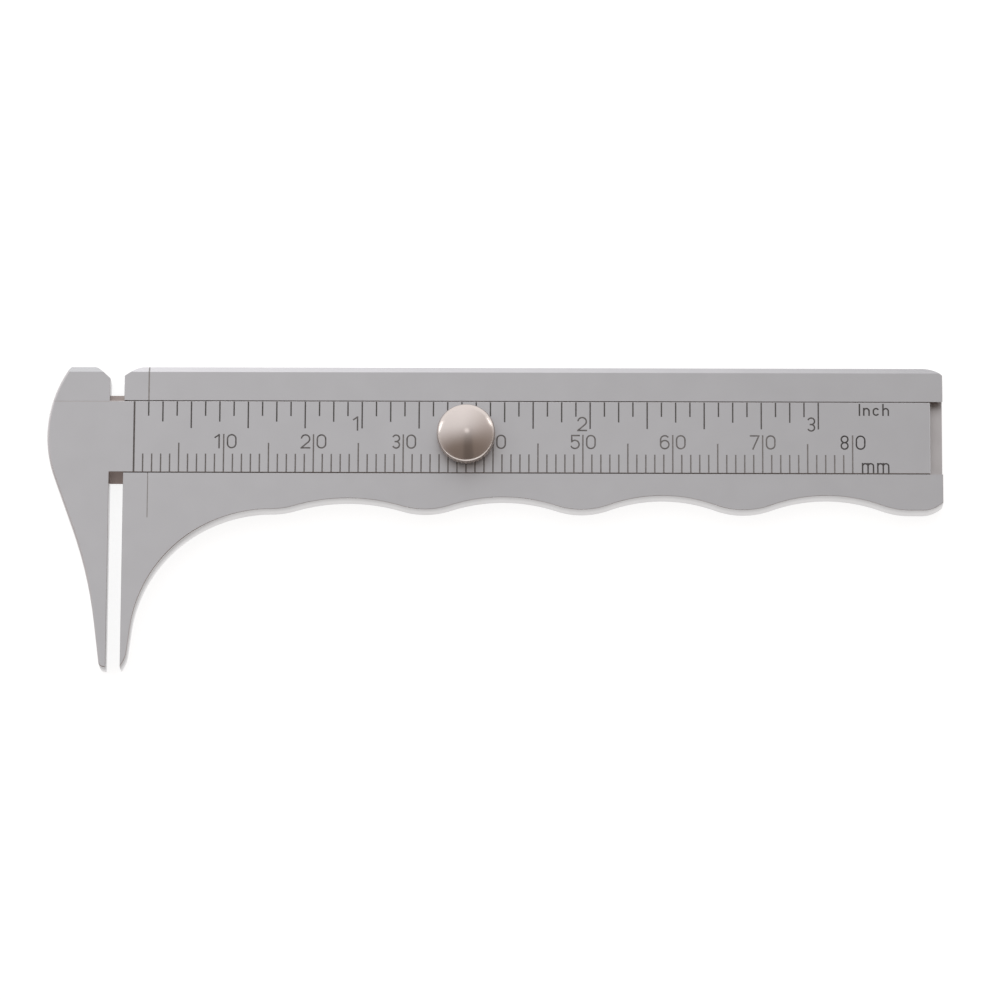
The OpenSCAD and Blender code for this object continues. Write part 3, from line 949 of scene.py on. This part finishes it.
@dataclass
class FrameBar:
    """The milled frame: fixed jaw, two rails, scalloped edge and dovetail channel."""

    layout: Layout
    finishes: Finishes
    end_corner_w: float = 2.3
    end_corner_r: float = 3.3
    jaw_corner_w: float = 2.3
    jaw_corner_lean: float = 33.5
    jaw_corner_r: float = 2.0
    first_crest_x: float = 16.5
    scallop_w: tuple[float, ...] = (17.1, 17.4, 18.0, 18.5)
    scallop_d: tuple[float, ...] = (1.25, 1.4, 1.6, 1.65)
    crest_r: float = 9.0
    tip_w: float = 0.75
    tip_h: float = 1.7
    fixed_lean: float = 7.2
    root_turn: float = 49.5
    fixed_straight: float = 2.8
    index_w: float = 0.16
    low_index_w: float = 0.1
    low_index_len: float = 5.1

    def jaw_edge(self) -> list[Vector]:
        """The fixed jaw's outer edge.

        Returns:
            Its points, from the first crest to the tip.
        """
        size = self.layout
        crest = Vector((self.first_crest_x, -size.rail_bottom))
        tip = Vector((self.tip_w, self.tip_h - size.jaw_reach))
        turn, end = radians(self.root_turn), radians(90 - self.fixed_lean)
        lean = radians(self.fixed_lean)
        unit_1 = -Vector((sin(turn), 1 - cos(turn)))
        unit_2 = -Vector((sin(end) - sin(turn), cos(turn) - cos(end)))
        straight = -self.fixed_straight * Vector((sin(lean), cos(lean)))
        wide, tight = solve_two(unit_1, unit_2, tip - crest - straight)
        centre_1 = crest - Vector((0.0, wide))
        centre_2 = centre_1 + (wide - tight) * towards(90 + self.root_turn)
        return (
            arc(centre_1, wide, 90, 90 + self.root_turn)
            + arc(centre_2, tight, 90 + self.root_turn, 180 - self.fixed_lean)
            + size.round_tip(tip, self.fixed_lean)
        )

    def scallop(self, x0: float, width: float, depth: float) -> list[Vector]:
        """One scallop, from its right crest to its left one.

        Args:
            x0: X of its left crest.
            width: From crest to crest.
            depth: Its depth.

        Returns:
            Its points.
        """
        half, bottom = width / 2, self.layout.rail_bottom
        turn = 2 * degrees(atan(depth / half))
        hollow = half / sin(radians(turn)) - self.crest_r
        crest_y = self.crest_r - bottom
        middle = Vector((x0 + half, depth - bottom - hollow))
        return (
            arc(Vector((x0 + width, crest_y)), self.crest_r, -90, -90 - turn)
            + arc(middle, hollow, 90 - turn, 90 + turn)
            + arc(Vector((x0, crest_y)), self.crest_r, -90 + turn, -90)
        )

    def outline(self) -> list[Vector]:
        """The frame's outline.

        Returns:
            Its points, counter-clockwise, with X = 0 at the fixed jaw's measuring face.
        """
        size = self.layout
        corner = degrees(acos(self.end_corner_w / self.end_corner_r))
        corner_x = size.frame_l - self.end_corner_w
        top = Vector((corner_x, size.rail_top - self.end_corner_r))
        bottom = Vector((corner_x, self.end_corner_r - size.rail_bottom))
        points = self.jaw_edge()
        points += size.top_corner(self.jaw_corner_w, self.jaw_corner_lean, self.jaw_corner_r)
        points += arc(top, self.end_corner_r, 90, corner)
        points += arc(bottom, self.end_corner_r, -corner, -90)
        crests = [self.first_crest_x + sum(self.scallop_w[:i]) for i in range(len(self.scallop_w))]
        for x0, width, depth in reversed(list(zip(crests, self.scallop_w, self.scallop_d))):
            points += self.scallop(x0, width, depth)
        return without_doubles(points)[::-1]

    def channel_cutter(self) -> Object:
        """The cutter of the dovetail channel.

        Returns:
            The cutter, with the channel's broken edges.
        """
        size, finishes, top = self.layout, self.finishes, self.layout.thickness
        edge, broken = size.channel_edge, size.dovetail_break
        half = [(edge + broken, top + OVER), (edge + broken, top)]
        half += [(size.flank(edge, z), z) for z in (top - broken, size.floor_z)]
        section = [(-y, z) for y, z in half] + half[::-1]
        ends = ((size.frame_x - OVER, 0.0), (-size.frame_x + OVER, 0.0))
        draft = Draft("channel cutter", finishes.milled, finishes.edge, finishes.flank)
        return draft.beam(section, ends, (0, 1, 2, 0, 2, 1, 0, 0))

    def index_cutters(self) -> list[Object]:
        """The cutters of the two index lines.

        Returns:
            The upper line's cutter and the lower one's.
        """
        size, high = self.layout, self.layout.thickness + OVER
        low = size.thickness - size.engrave_d
        start = size.channel_edge + size.mark_edge_gap
        turn = size.rail_top - size.top_bevel - size.engrave_d * (ROOT_2 - 1)
        drop = size.thickness - size.top_bevel - OVER - size.engrave_d * ROOT_2
        past = size.rail_top + OVER
        section = ((start, low), (turn, low), (past, drop), (past, high), (start, high))
        centre = size.frame_x + size.zero_x
        ends = ((centre - self.index_w / 2, 0.0), (centre + self.index_w / 2, 0.0))
        upper = Draft("index cutter", self.finishes.satin).beam(section, ends)
        half = self.low_index_w / 2
        corner = (centre - half, -start - self.low_index_len, low)
        lower = Draft("low index cutter", self.finishes.satin)
        return [upper, lower.block(corner, (centre + half, -start, high))]

    def build(self) -> None:
        """Builds the frame."""
        size, finishes = self.layout, self.finishes
        draft = Draft("frame_bar", finishes.satin, finishes.edge, finishes.contour)
        body = draft.plate(self.outline(), size.thickness, size.edge_width)
        body.data.transform(Matrix.Translation((size.frame_x, 0, 0)))
        bevel = size.bevel_cutter(size.frame_x - OVER, OVER - size.frame_x, finishes.bevel)
        hole = size.pin_d / 2 + size.seat_gap
        pin_at = Vector((size.frame_x + size.pin_x, 0.0))
        profile = ((0.0, -OVER), (hole, -OVER), (hole, size.back_z), (0.0, size.back_z))
        pin = Draft("pin cutter", finishes.milled).turned(pin_at, profile, HOLE_STEPS)
        join(body, Merge.CUT, bevel, self.channel_cutter(), *self.index_cutters(), pin)
        settle(finish_piece(body), Body.FRAME, "frame")


@dataclass
class ScaleRow:
    """One row of scale marks, made by a node tree of its own."""

    name: str
    count: int
    pitch: float
    # Lengths of its short, middle and long marks, and every how many a middle and a long one comes
    lengths: Triple
    every: tuple[int, int]
    # 1 for marks that stand on the lower edge, -1 for marks that hang from the upper one
    direction: int
    width: float = 0.16

    def tree(self) -> Tree:
        """Builds the node tree that lays out a row of marks.

        Returns:
            The tree, with named inputs for its sizes.
        """
        floats = "Zero Pitch Width Short Middle Long Edge Direction Low High".split()
        canvas, given = new_geometry(
            "scale marks",
            Int=("Count", "Middle Every", "Long Every"),
            Float=floats,
            Material=("Material",),
        )
        number = canvas.math("ADD", canvas.get("GeometryNodeInputIndex"), 1.0)
        length = given["Short"]
        for kind in ("Middle", "Long"):
            rest = canvas.math("MODULO", number, given[f"{kind} Every"])
            found = canvas.math("LESS_THAN", rest, 0.5)
            inputs = {"Switch": found, "False": length, "True": given[kind]}
            length = canvas.get("GeometryNodeSwitch", inputs, input_type="FLOAT")
        first = canvas.combine(X=canvas.math("ADD", given["Zero"], given["Pitch"]))
        step = canvas.combine(X=given["Pitch"])
        inputs = {"Count": given["Count"], "Start Location": first, "Offset": step}
        line = canvas.get("GeometryNodeMeshLine", inputs, mode="OFFSET")
        half = canvas.math("MULTIPLY", canvas.math("MULTIPLY", length, 0.5), given["Direction"])
        middle_z = canvas.math("MULTIPLY", canvas.math("ADD", given["Low"], given["High"]), 0.5)
        shift = canvas.combine(Y=canvas.math("ADD", given["Edge"], half), Z=middle_z)
        placed = canvas.get("GeometryNodeSetPosition", {"Geometry": line, "Offset": shift})
        depth = canvas.math("SUBTRACT", given["High"], given["Low"])
        size = canvas.combine(X=given["Width"], Y=length, Z=depth)
        mark = canvas.get("GeometryNodeMeshCube", {"Size": (1.0, 1.0, 1.0)})
        inputs = {"Points": placed, "Instance": mark, "Scale": size}
        copies = canvas.get("GeometryNodeInstanceOnPoints", inputs)
        return canvas.plain(copies, {"Material": given["Material"]})

    def build(self, layout: Layout, low: float, high: float, material: Material) -> Object:
        """Builds the row between two heights.

        Args:
            layout: The shared sizes.
            low: Lower height of the marks.
            high: Upper height of the marks.
            material: Their finish.

        Returns:
            The marks as one plain mesh, in millimetres.
        """
        values = {
            "Count": self.count,
            "Middle Every": self.every[0],
            "Long Every": self.every[1],
            "Zero": layout.slide_x + layout.zero_x,
            "Pitch": self.pitch,
            "Width": self.width,
            **dict(zip(("Short", "Middle", "Long"), self.lengths)),
            "Edge": -self.direction * (layout.slide_w / 2 - layout.mark_edge_gap),
            "Direction": float(self.direction),
            "Low": low,
            "High": high,
            "Material": material,
        }
        return grown(f"{self.name}_fill", self.tree(), values, None)


@dataclass
class SlideBar:
    """The moving slide: dovetail bar with its head and jaw, engraved with both scales."""

    layout: Layout
    finishes: Finishes
    nodes: dict[str, Object]
    head_depth: float = 6.95
    head_r: float = 13.8
    head_mid_y: float = 0.1
    root_lean: float = 20.0
    moving_lean: float = 7.2
    hollow_r: float = 50.0
    tip_w: float = 0.8
    tip_h: float = 0.5
    head_corner_w: float = 1.8
    head_corner_lean: float = 43.0
    head_corner_r: float = 0.7
    # Edge break of the head's round back
    head_break: float = 0.25
    scale_mm: int = 80
    mm_lengths: Triple = (2.05, 3.3, 4.3)
    inch_lengths: Triple = (1.65, 2.3, 3.05)
    inch_parts: int = 16
    pin_groove_w: float = 1.4
    pin_groove_d: float = 0.5
    pin_free_end: float = 0.3
    leaf_y: float = 2.8
    pocket_l: float = 7.9
    pocket_w: float = 1.9
    pocket_d: float = 0.7
    pocket_end_wall: float = 1.2
    # Edge break of the bar's plain end, along it and down it
    end_run: float = 0.07
    end_drop: float = 0.14
    # The faint line that the mill left across the head
    mill_line_y: float = 4.0
    mill_line_w: float = 0.1
    mill_line_d: float = 0.015

    def rows(self) -> tuple[ScaleRow, ScaleRow]:
        """The two rows of scale marks.

        Returns:
            The millimetre row and the inch row.
        """
        count, pitch = self.inch_parts * int(self.scale_mm // INCH), INCH / self.inch_parts
        return (
            ScaleRow("mm_marks", self.scale_mm, 1.0, self.mm_lengths, (5, 10), 1),
            ScaleRow("inch_marks", count, pitch, self.inch_lengths, (2, 4), -1),
        )

    def head_outline(self) -> list[Vector]:
        """The outline of the head and its jaw.

        Returns:
            Its points, counter-clockwise, with X = 0 at the measuring face.
        """
        size = self.layout
        centre = Vector((self.head_depth - self.head_r, self.head_mid_y))
        top = degrees(asin((size.rail_top - self.head_mid_y) / self.head_r))
        root, lean = radians(self.root_lean), radians(self.moving_lean)
        start = centre + self.head_r * towards(-self.root_lean)
        down_1 = -Vector((sin(root), cos(root)))
        down_2 = -Vector((sin(lean), cos(lean)))
        bend = Vector((cos(root) - cos(lean), sin(lean) - sin(root)))
        tip = Vector((self.tip_w, self.tip_h - size.jaw_reach))
        first, _ = solve_two(down_1, down_2, tip - start - self.hollow_r * bend)
        hollow = start + first * down_1 + self.hollow_r * towards(-self.root_lean)
        points = size.top_corner(self.head_corner_w, self.head_corner_lean, self.head_corner_r)
        points += arc(centre, self.head_r, top, -self.root_lean)
        points += arc(hollow, self.hollow_r, 180 - self.root_lean, 180 - self.moving_lean)
        points += size.round_tip(tip, self.moving_lean)
        return [Vector((-p.x, p.y)) for p in without_doubles(points)]

    def edge_width(self, a: Vector, b: Vector) -> float:
        """Returns the shared width of the edge break, but a wider one on the round back."""
        behind = min(abs(a.x), abs(b.x)) > self.head_corner_w
        return max(self.layout.edge_width(a, b), self.head_break if behind else 0.0)

    def bar(self) -> Object:
        """The bar of dovetail section.

        Returns:
            The bar, from inside the head to the plain end.
        """
        size, finishes, top = self.layout, self.finishes, self.layout.thickness
        edge, broken = size.slide_w / 2, size.dovetail_break
        half = [(size.flank(edge, z), z) for z in (size.back_z, top - broken)]
        half.append((edge - broken, top))
        section = half + [(-y, z) for y, z in reversed(half)]
        end = size.frame_l + size.bar_over
        stations = ((-self.head_corner_w, 0.0), (end - self.end_run, 0.0), (end, self.end_drop))
        skins = (finishes.satin, finishes.edge, finishes.flank, finishes.milled)
        return Draft("bar", *skins).beam(section, stations, (2, 1, 0, 1, 2, 3))

    def back_cutters(self) -> list[Object]:
        """The cutters of the slide's back.

        Returns:
            Those of the pin's groove, the spring's pocket and the stud's hole.
        """
        size, milled = self.layout, self.finishes.milled
        low, high, pin = size.back_z - OVER, size.thickness + OVER, size.pin_d / 2
        left, right = size.pin_x - pin - self.pin_free_end, size.pin_x + self.scale_mm + pin
        half, roof = self.pin_groove_w / 2, size.back_z + self.pin_groove_d
        corner = (right + size.slide_gap, half, roof)
        groove = Draft("groove cutter", milled).block((left, -half, low), corner)
        right = size.frame_l + size.bar_over - self.pocket_end_wall
        half, roof = self.pocket_w / 2, size.back_z + self.pocket_d
        corner = (right - self.pocket_l, self.leaf_y - half, low)
        pocket = Draft("pocket cutter", milled).block(corner, (right, self.leaf_y + half, roof))
        radius = size.stud_d / 2 + size.seat_gap
        profile = ((0.0, low), (radius, low), (radius, high), (0.0, high))
        at = Vector((size.zero_x + size.knob_x, 0.0))
        return [groove, pocket, Draft("stud cutter", milled).turned(at, profile, HOLE_STEPS)]

    def face_cutters(self) -> list[Object]:
        """The cutters of the slide's face.

        Returns:
            Those of the scales, the numerals, the labels and the mill's line.
        """
        size, satin = self.layout, self.finishes.satin
        low, high = size.thickness - size.engrave_d, size.thickness + OVER
        cutters = [row.build(size, low, high, satin) for row in self.rows()]
        for name in ("zero_line", "mm_numerals", "inch_numerals", "unit_labels"):
            cutters.append(Draft(f"{name} cutter", satin).raised(self.nodes[name], high))
        bottom, top = (self.mill_line_y + side * self.mill_line_w / 2 for side in (-1, 1))
        corner = (size.slide_x - 2 * self.head_depth, bottom, size.thickness - self.mill_line_d)
        end = (size.slide_x + OVER, top, high)
        return cutters + [Draft("mill line cutter", self.finishes.milled).block(corner, end)]

    def build(self) -> None:
        """Builds the slide and the fill of its marks."""
        size, finishes = self.layout, self.finishes
        draft = Draft("slide_bar", finishes.satin, finishes.edge, finishes.contour)
        body = draft.plate(self.head_outline(), size.thickness, self.edge_width)
        join(body, Merge.ADD, self.bar())
        bevel = size.bevel_cutter(-self.head_depth - OVER, OVER, finishes.satin)
        join(body, Merge.CUT, bevel, *self.back_cutters())
        body.data.transform(Matrix.Translation((size.slide_x, 0, 0)))
        join(body, Merge.CUT, *self.face_cutters())
        settle(finish_piece(body), Body.SLIDE, "slide")
        low, high = size.thickness - size.engrave_d, size.thickness - size.fill_recess
        for row, ink in zip(self.rows(), (finishes.fill, finishes.inch_fill)):
            marks = finish_piece(row.build(size, low, high, ink))
            settle(marks, Body.SLIDE, row.name)


@dataclass
class ThumbKnob:
    """The turned knob: neck, knurled rim and dome."""

    layout: Layout
    finishes: Finishes
    rim_d: float = 6.5
    rim_h: float = 1.7
    rim_bevel: float = 0.15
    neck_d: float = 4.2
    neck_h: float = 0.7
    dome_h: float = 1.35
    knurl_d: float = 0.12
    knurl_count: int = 44
    stud_in_knob: float = 2.1
    # Width and height of the slope between the dome and the knurled rim
    lip_w: float = 0.13
    lip_h: float = 0.21
    # Shares of both at which the slope bends
    lip_bend: Pair = (0.8, 0.66)
    # Height over which the knurling runs out below that slope
    run_out: float = 0.04
    faces_per_knurl: int = 6
    dome_rings: int = 28
    crease: float = 30.0

    def profile(self) -> list[Pair]:
        """The knob's section.

        Returns:
            Radius and height of its points, from the stud's hole to the top.
        """
        face, gap = self.layout.thickness, self.layout.seat_gap
        hole, roof = self.layout.stud_d / 2 + gap, face + self.stud_in_knob + gap
        neck, rim, small = self.neck_d / 2, self.rim_d / 2, self.rim_d / 2 - self.lip_w
        rim_z = face + self.neck_h
        top = rim_z + self.rim_h
        rows = [(0.0, roof), (hole, roof), (hole, face), (neck, face), (neck, rim_z)]
        rows += [(rim - self.rim_bevel, rim_z), (rim, rim_z + self.rim_bevel)]
        rows += [(rim, top - self.lip_h - self.run_out), (rim, top - self.lip_h)]
        out, down = self.lip_bend
        rows.append((small + out * self.lip_w, top - down * self.lip_h))
        sphere = (small**2 + self.dome_h**2) / (2 * self.dome_h)
        start = asin(small / sphere)
        for i in range(self.dome_rings):
            angle = start * (1 - i / self.dome_rings)
            z = top + self.dome_h - sphere * (1 - cos(angle))
            rows.append((sphere * sin(angle), z))
        return rows + [(0.0, top + self.dome_h)]

    def knurl_tree(self) -> Tree:
        """Builds the node tree that cuts the knurling into the rim.

        Returns:
            The tree: it keeps each point inside a serrated outline about the knob's axis.
        """
        canvas, given = new_geometry(
            "rim knurling",
            Geometry=("Geometry",),
            Vector=("Centre",),
            Float=("Count", "Rim Radius", "Depth", "Rim Top"),
            Material=("Dome Material", "Rim Material"),
        )
        place = canvas.get("GeometryNodeInputPosition")
        parts = canvas.split(canvas.vector("SUBTRACT", {0: place, 1: given["Centre"]}))
        flat = canvas.combine(X=parts["X"], Y=parts["Y"])
        radius = canvas.vector("LENGTH", {0: flat}, "Value")
        turn = canvas.math("ARCTAN2", parts["Y"], parts["X"])
        turns = canvas.math("MULTIPLY", turn, canvas.math("DIVIDE", given["Count"], 2 * pi))
        wave = canvas.math("MULTIPLY", canvas.math("PINGPONG", turns, 0.5), 2.0)
        depth = canvas.math("MULTIPLY", wave, given["Depth"])
        limit = canvas.math("SUBTRACT", given["Rim Radius"], depth)
        excess = canvas.math("MAXIMUM", canvas.math("SUBTRACT", radius, limit), 0.0)
        unit = canvas.vector("NORMALIZE", {0: flat})
        pull = canvas.vector("SCALE", {0: unit, "Scale": canvas.math("MULTIPLY", excess, -1.0)})
        below = canvas.math("LESS_THAN", parts["Z"], given["Rim Top"])
        inputs = {"Geometry": given["Geometry"], "Selection": below, "Offset": pull}
        return canvas.plain(
            canvas.get("GeometryNodeSetPosition", inputs),
            {"Material": given["Dome Material"]},
            {"Selection": below, "Material": given["Rim Material"]},
        )

    def build(self) -> None:
        """Builds the knob."""
        size, finishes = self.layout, self.finishes
        centre = Vector((size.slide_x + size.zero_x + size.knob_x, 0.0))
        segments = self.knurl_count * self.faces_per_knurl
        body = Draft("domed_knob", finishes.knob).turned(centre, self.profile(), segments)
        rim_top = size.thickness + self.neck_h + self.rim_h - self.lip_h - self.run_out / 2
        values = {
            "Centre": centre.to_3d(),
            "Count": float(self.knurl_count),
            "Rim Radius": self.rim_d / 2,
            "Depth": self.knurl_d,
            "Rim Top": rim_top,
            "Dome Material": finishes.knob,
            "Rim Material": finishes.rim,
        }
        body = grown("domed_knob", self.knurl_tree(), values, body)
        settle(finish_piece(body, self.crease), Body.SLIDE, "thumb_knob")


@dataclass
class SmallParts:
    """The CAD nodes that keep their own meshes."""

    nodes: dict[str, Object]
    finishes: Finishes

    def build(self) -> None:
        """Gives each of them its finish."""
        finishes = self.finishes
        pairs = {
            "stop_pin": finishes.edge,
            "knob_stud": finishes.edge,
            "friction_spring": finishes.spring,
            "zero_line": finishes.zero_fill,
            "mm_numerals": finishes.figure_fill,
            "inch_numerals": finishes.figure_fill,
            "unit_labels": finishes.label_fill,
            "index_lines": finishes.index_fill,
        }
        for name, material in pairs.items():
            self.nodes[name].data.materials.clear()
            self.nodes[name].data.materials.append(material)
            LOG.info("%s keeps its CAD mesh, in %s", name, material.name)


# ---------------------------------------------------------------- studio


@dataclass(frozen=True)
class Lamp:
    """One soft lamp, aimed at a point. Its sizes are in metres."""

    name: str
    place: Triple
    width: float
    height: float
    power: float
    target: Triple = (-0.0074, 0.0, 0.005)

    def build(self) -> None:
        """Adds the lamp to the scene."""
        data = bpy.data.lights.new(self.name, "AREA")
        data.shape = "ELLIPSE"
        data.size, data.size_y = self.width, self.height
        data.energy = self.power
        lamp = linked(self.name, data)
        lamp.location = self.place
        aim = Vector(self.target) - Vector(self.place)
        lamp.rotation_mode = "QUATERNION"
        lamp.rotation_quaternion = aim.to_track_quat("-Z", "Y")


@dataclass(frozen=True)
class Studio:
    """Floor, lamps, surroundings and camera, in metres."""

    # Focal length and width of the photograph, in pixels
    focal: float = 6789.0
    frame_width: float = 1000.0
    sensor: float = 36.0
    clip: Pair = (0.01, 20.0)
    camera_place: Triple = (0.00502, -0.17407, 0.73851)
    yaw: float = 0.011765
    pitch: float = 0.223118
    roll: float = 0.0050517
    floor_half: float = 3.0
    floor_z: float = -0.00002
    floor_colour: float = 0.235
    floor_glow: float = 0.86
    # The room: pale behind, brown in front, with a dark upright patch in it, dimmer on the right
    back: Colour = (0.86, 0.85, 0.86)
    front: Colour = (0.32, 0.27, 0.24)
    pale: Pair = (-0.657, 0.56)
    pale_lean: float = 0.08
    side: Pair = (-0.6, 1.436)
    side_lean: float = 0.39
    right_level: float = 0.2
    patch_x: float = 0.11
    patch: Pair = (0.3, 0.15)
    patch_depth: float = 0.3
    back_gain: float = 0.274
    # The room's lamps, which no reflection shows, bring dull surfaces to a plain level
    dull_gain: float = 0.8
    lamps: tuple[Lamp, ...] = (
        Lamp("overhead lamp", (0.05, 0.2, 1.18), 0.27, 0.27, 0.1),
        Lamp("left strip", (-0.91, 0.42, 0.035), 0.40, 0.06, 0.18),
        Lamp("right strip", (0.8, 0.58, 0.035), 0.36, 0.06, 0.16),
    )

    def floor(self) -> None:
        """Adds the plain pale floor, which keeps the object's shadow.

        It glows only for rays from the camera, a reflection or a glass.
        """
        material, canvas = new_material("pale floor")
        paint = canvas.get("ShaderNodeBsdfDiffuse", {"Color": (self.floor_colour,) * 3})
        rays = canvas.add("ShaderNodeLightPath").outputs
        seen = canvas.math("MAXIMUM", rays["Is Camera Ray"], rays["Is Glossy Ray"])
        seen = canvas.math("MAXIMUM", seen, rays["Is Transmission Ray"])
        strength = canvas.math("MULTIPLY", seen, self.floor_glow)
        glow = canvas.get("ShaderNodeEmission", {"Strength": strength})
        both = canvas.get("ShaderNodeAddShader", {0: paint, 1: glow})
        canvas.add("ShaderNodeOutputMaterial", {"Surface": both})
        draft, half = Draft("floor", material), self.floor_half
        corners = ((-half, -half), (half, -half), (half, half), (-half, half))
        draft.face(draft.ring((x, y, self.floor_z) for x, y in corners))
        draft.object()

    def surroundings(self) -> None:
        """Sets the world: the room to reflections and dull surfaces, white to the camera."""
        world = bpy.data.worlds.new("studio")
        bpy.context.scene.world = world
        world.use_nodes = True
        canvas = Canvas(world.node_tree)
        parts = canvas.split(canvas.add("ShaderNodeTexCoord").outputs["Generated"])

        def step(value: Socket, ends: Sequence[float], last: float) -> Socket:
            """Returns a soft step from 1 to a last level."""
            return canvas.range(value, ends, (1.0, last), interpolation_type="SMOOTHSTEP")

        depth = canvas.math("MULTIPLY_ADD", parts["X"], -self.pale_lean, parts["Y"])
        side = canvas.math("MULTIPLY_ADD", parts["Y"], -self.side_lean, parts["X"])
        pale = canvas.math("SUBTRACT", 1.0, step(depth, self.pale, 0.0))
        pale = canvas.math("MULTIPLY", pale, step(side, self.side, self.right_level))
        across = canvas.math("ABSOLUTE", canvas.math("SUBTRACT", parts["X"], self.patch_x))
        patch = step(across, self.patch, 1 - self.patch_depth)
        tint = canvas.mix(pale, canvas.mix(patch, (0.0, 0.0, 0.0), self.front), self.back)
        gain = canvas.math("MULTIPLY_ADD", parts["Y"], self.back_gain, 1.0)
        rays = canvas.add("ShaderNodeLightPath").outputs
        dull = canvas.math("MULTIPLY_ADD", rays["Is Diffuse Ray"], self.dull_gain, 1.0)
        gain = canvas.math("MULTIPLY", gain, dull)
        lit = canvas.get("ShaderNodeBackground", {"Color": tint, "Strength": gain})
        white = canvas.get("ShaderNodeBackground", {"Color": (1.0, 1.0, 1.0)})
        choice = canvas.get("ShaderNodeMixShader", {0: rays["Is Camera Ray"], 1: lit, 2: white})
        canvas.add("ShaderNodeOutputWorld", {"Surface": choice})

    def camera(self) -> None:
        """Adds the camera at the photograph's viewing angle."""
        data = bpy.data.cameras.new("camera")
        data.lens = self.focal / self.frame_width * self.sensor
        data.sensor_width = self.sensor
        data.clip_start, data.clip_end = self.clip
        camera = linked("camera", data)
        turn = Matrix.Rotation(self.yaw, 4, "Y") @ Matrix.Rotation(self.pitch, 4, "X")
        turn = turn @ Matrix.Rotation(self.roll, 4, "Z")
        camera.matrix_world = Matrix.Translation(self.camera_place) @ turn
        bpy.context.scene.camera = camera

    def build(self) -> None:
        """Sets up the whole studio."""
        self.camera()
        self.floor()
        self.surroundings()
        for lamp in self.lamps:
            lamp.build()
        bpy.context.scene.view_settings.view_transform = "Standard"


def main() -> None:
    """Builds the caliper in order."""
    logging.basicConfig(level=logging.INFO, format="%(message)s")
    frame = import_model()
    Studio().build()
    layout, finishes = Layout(), Finishes.build()
    FrameBar(layout, finishes).build()
    SlideBar(layout, finishes, frame["nodes"]).build()
    ThumbKnob(layout, finishes).build()
    SmallParts(frame["nodes"], finishes).build()


if __name__ == "__main__":
    main()
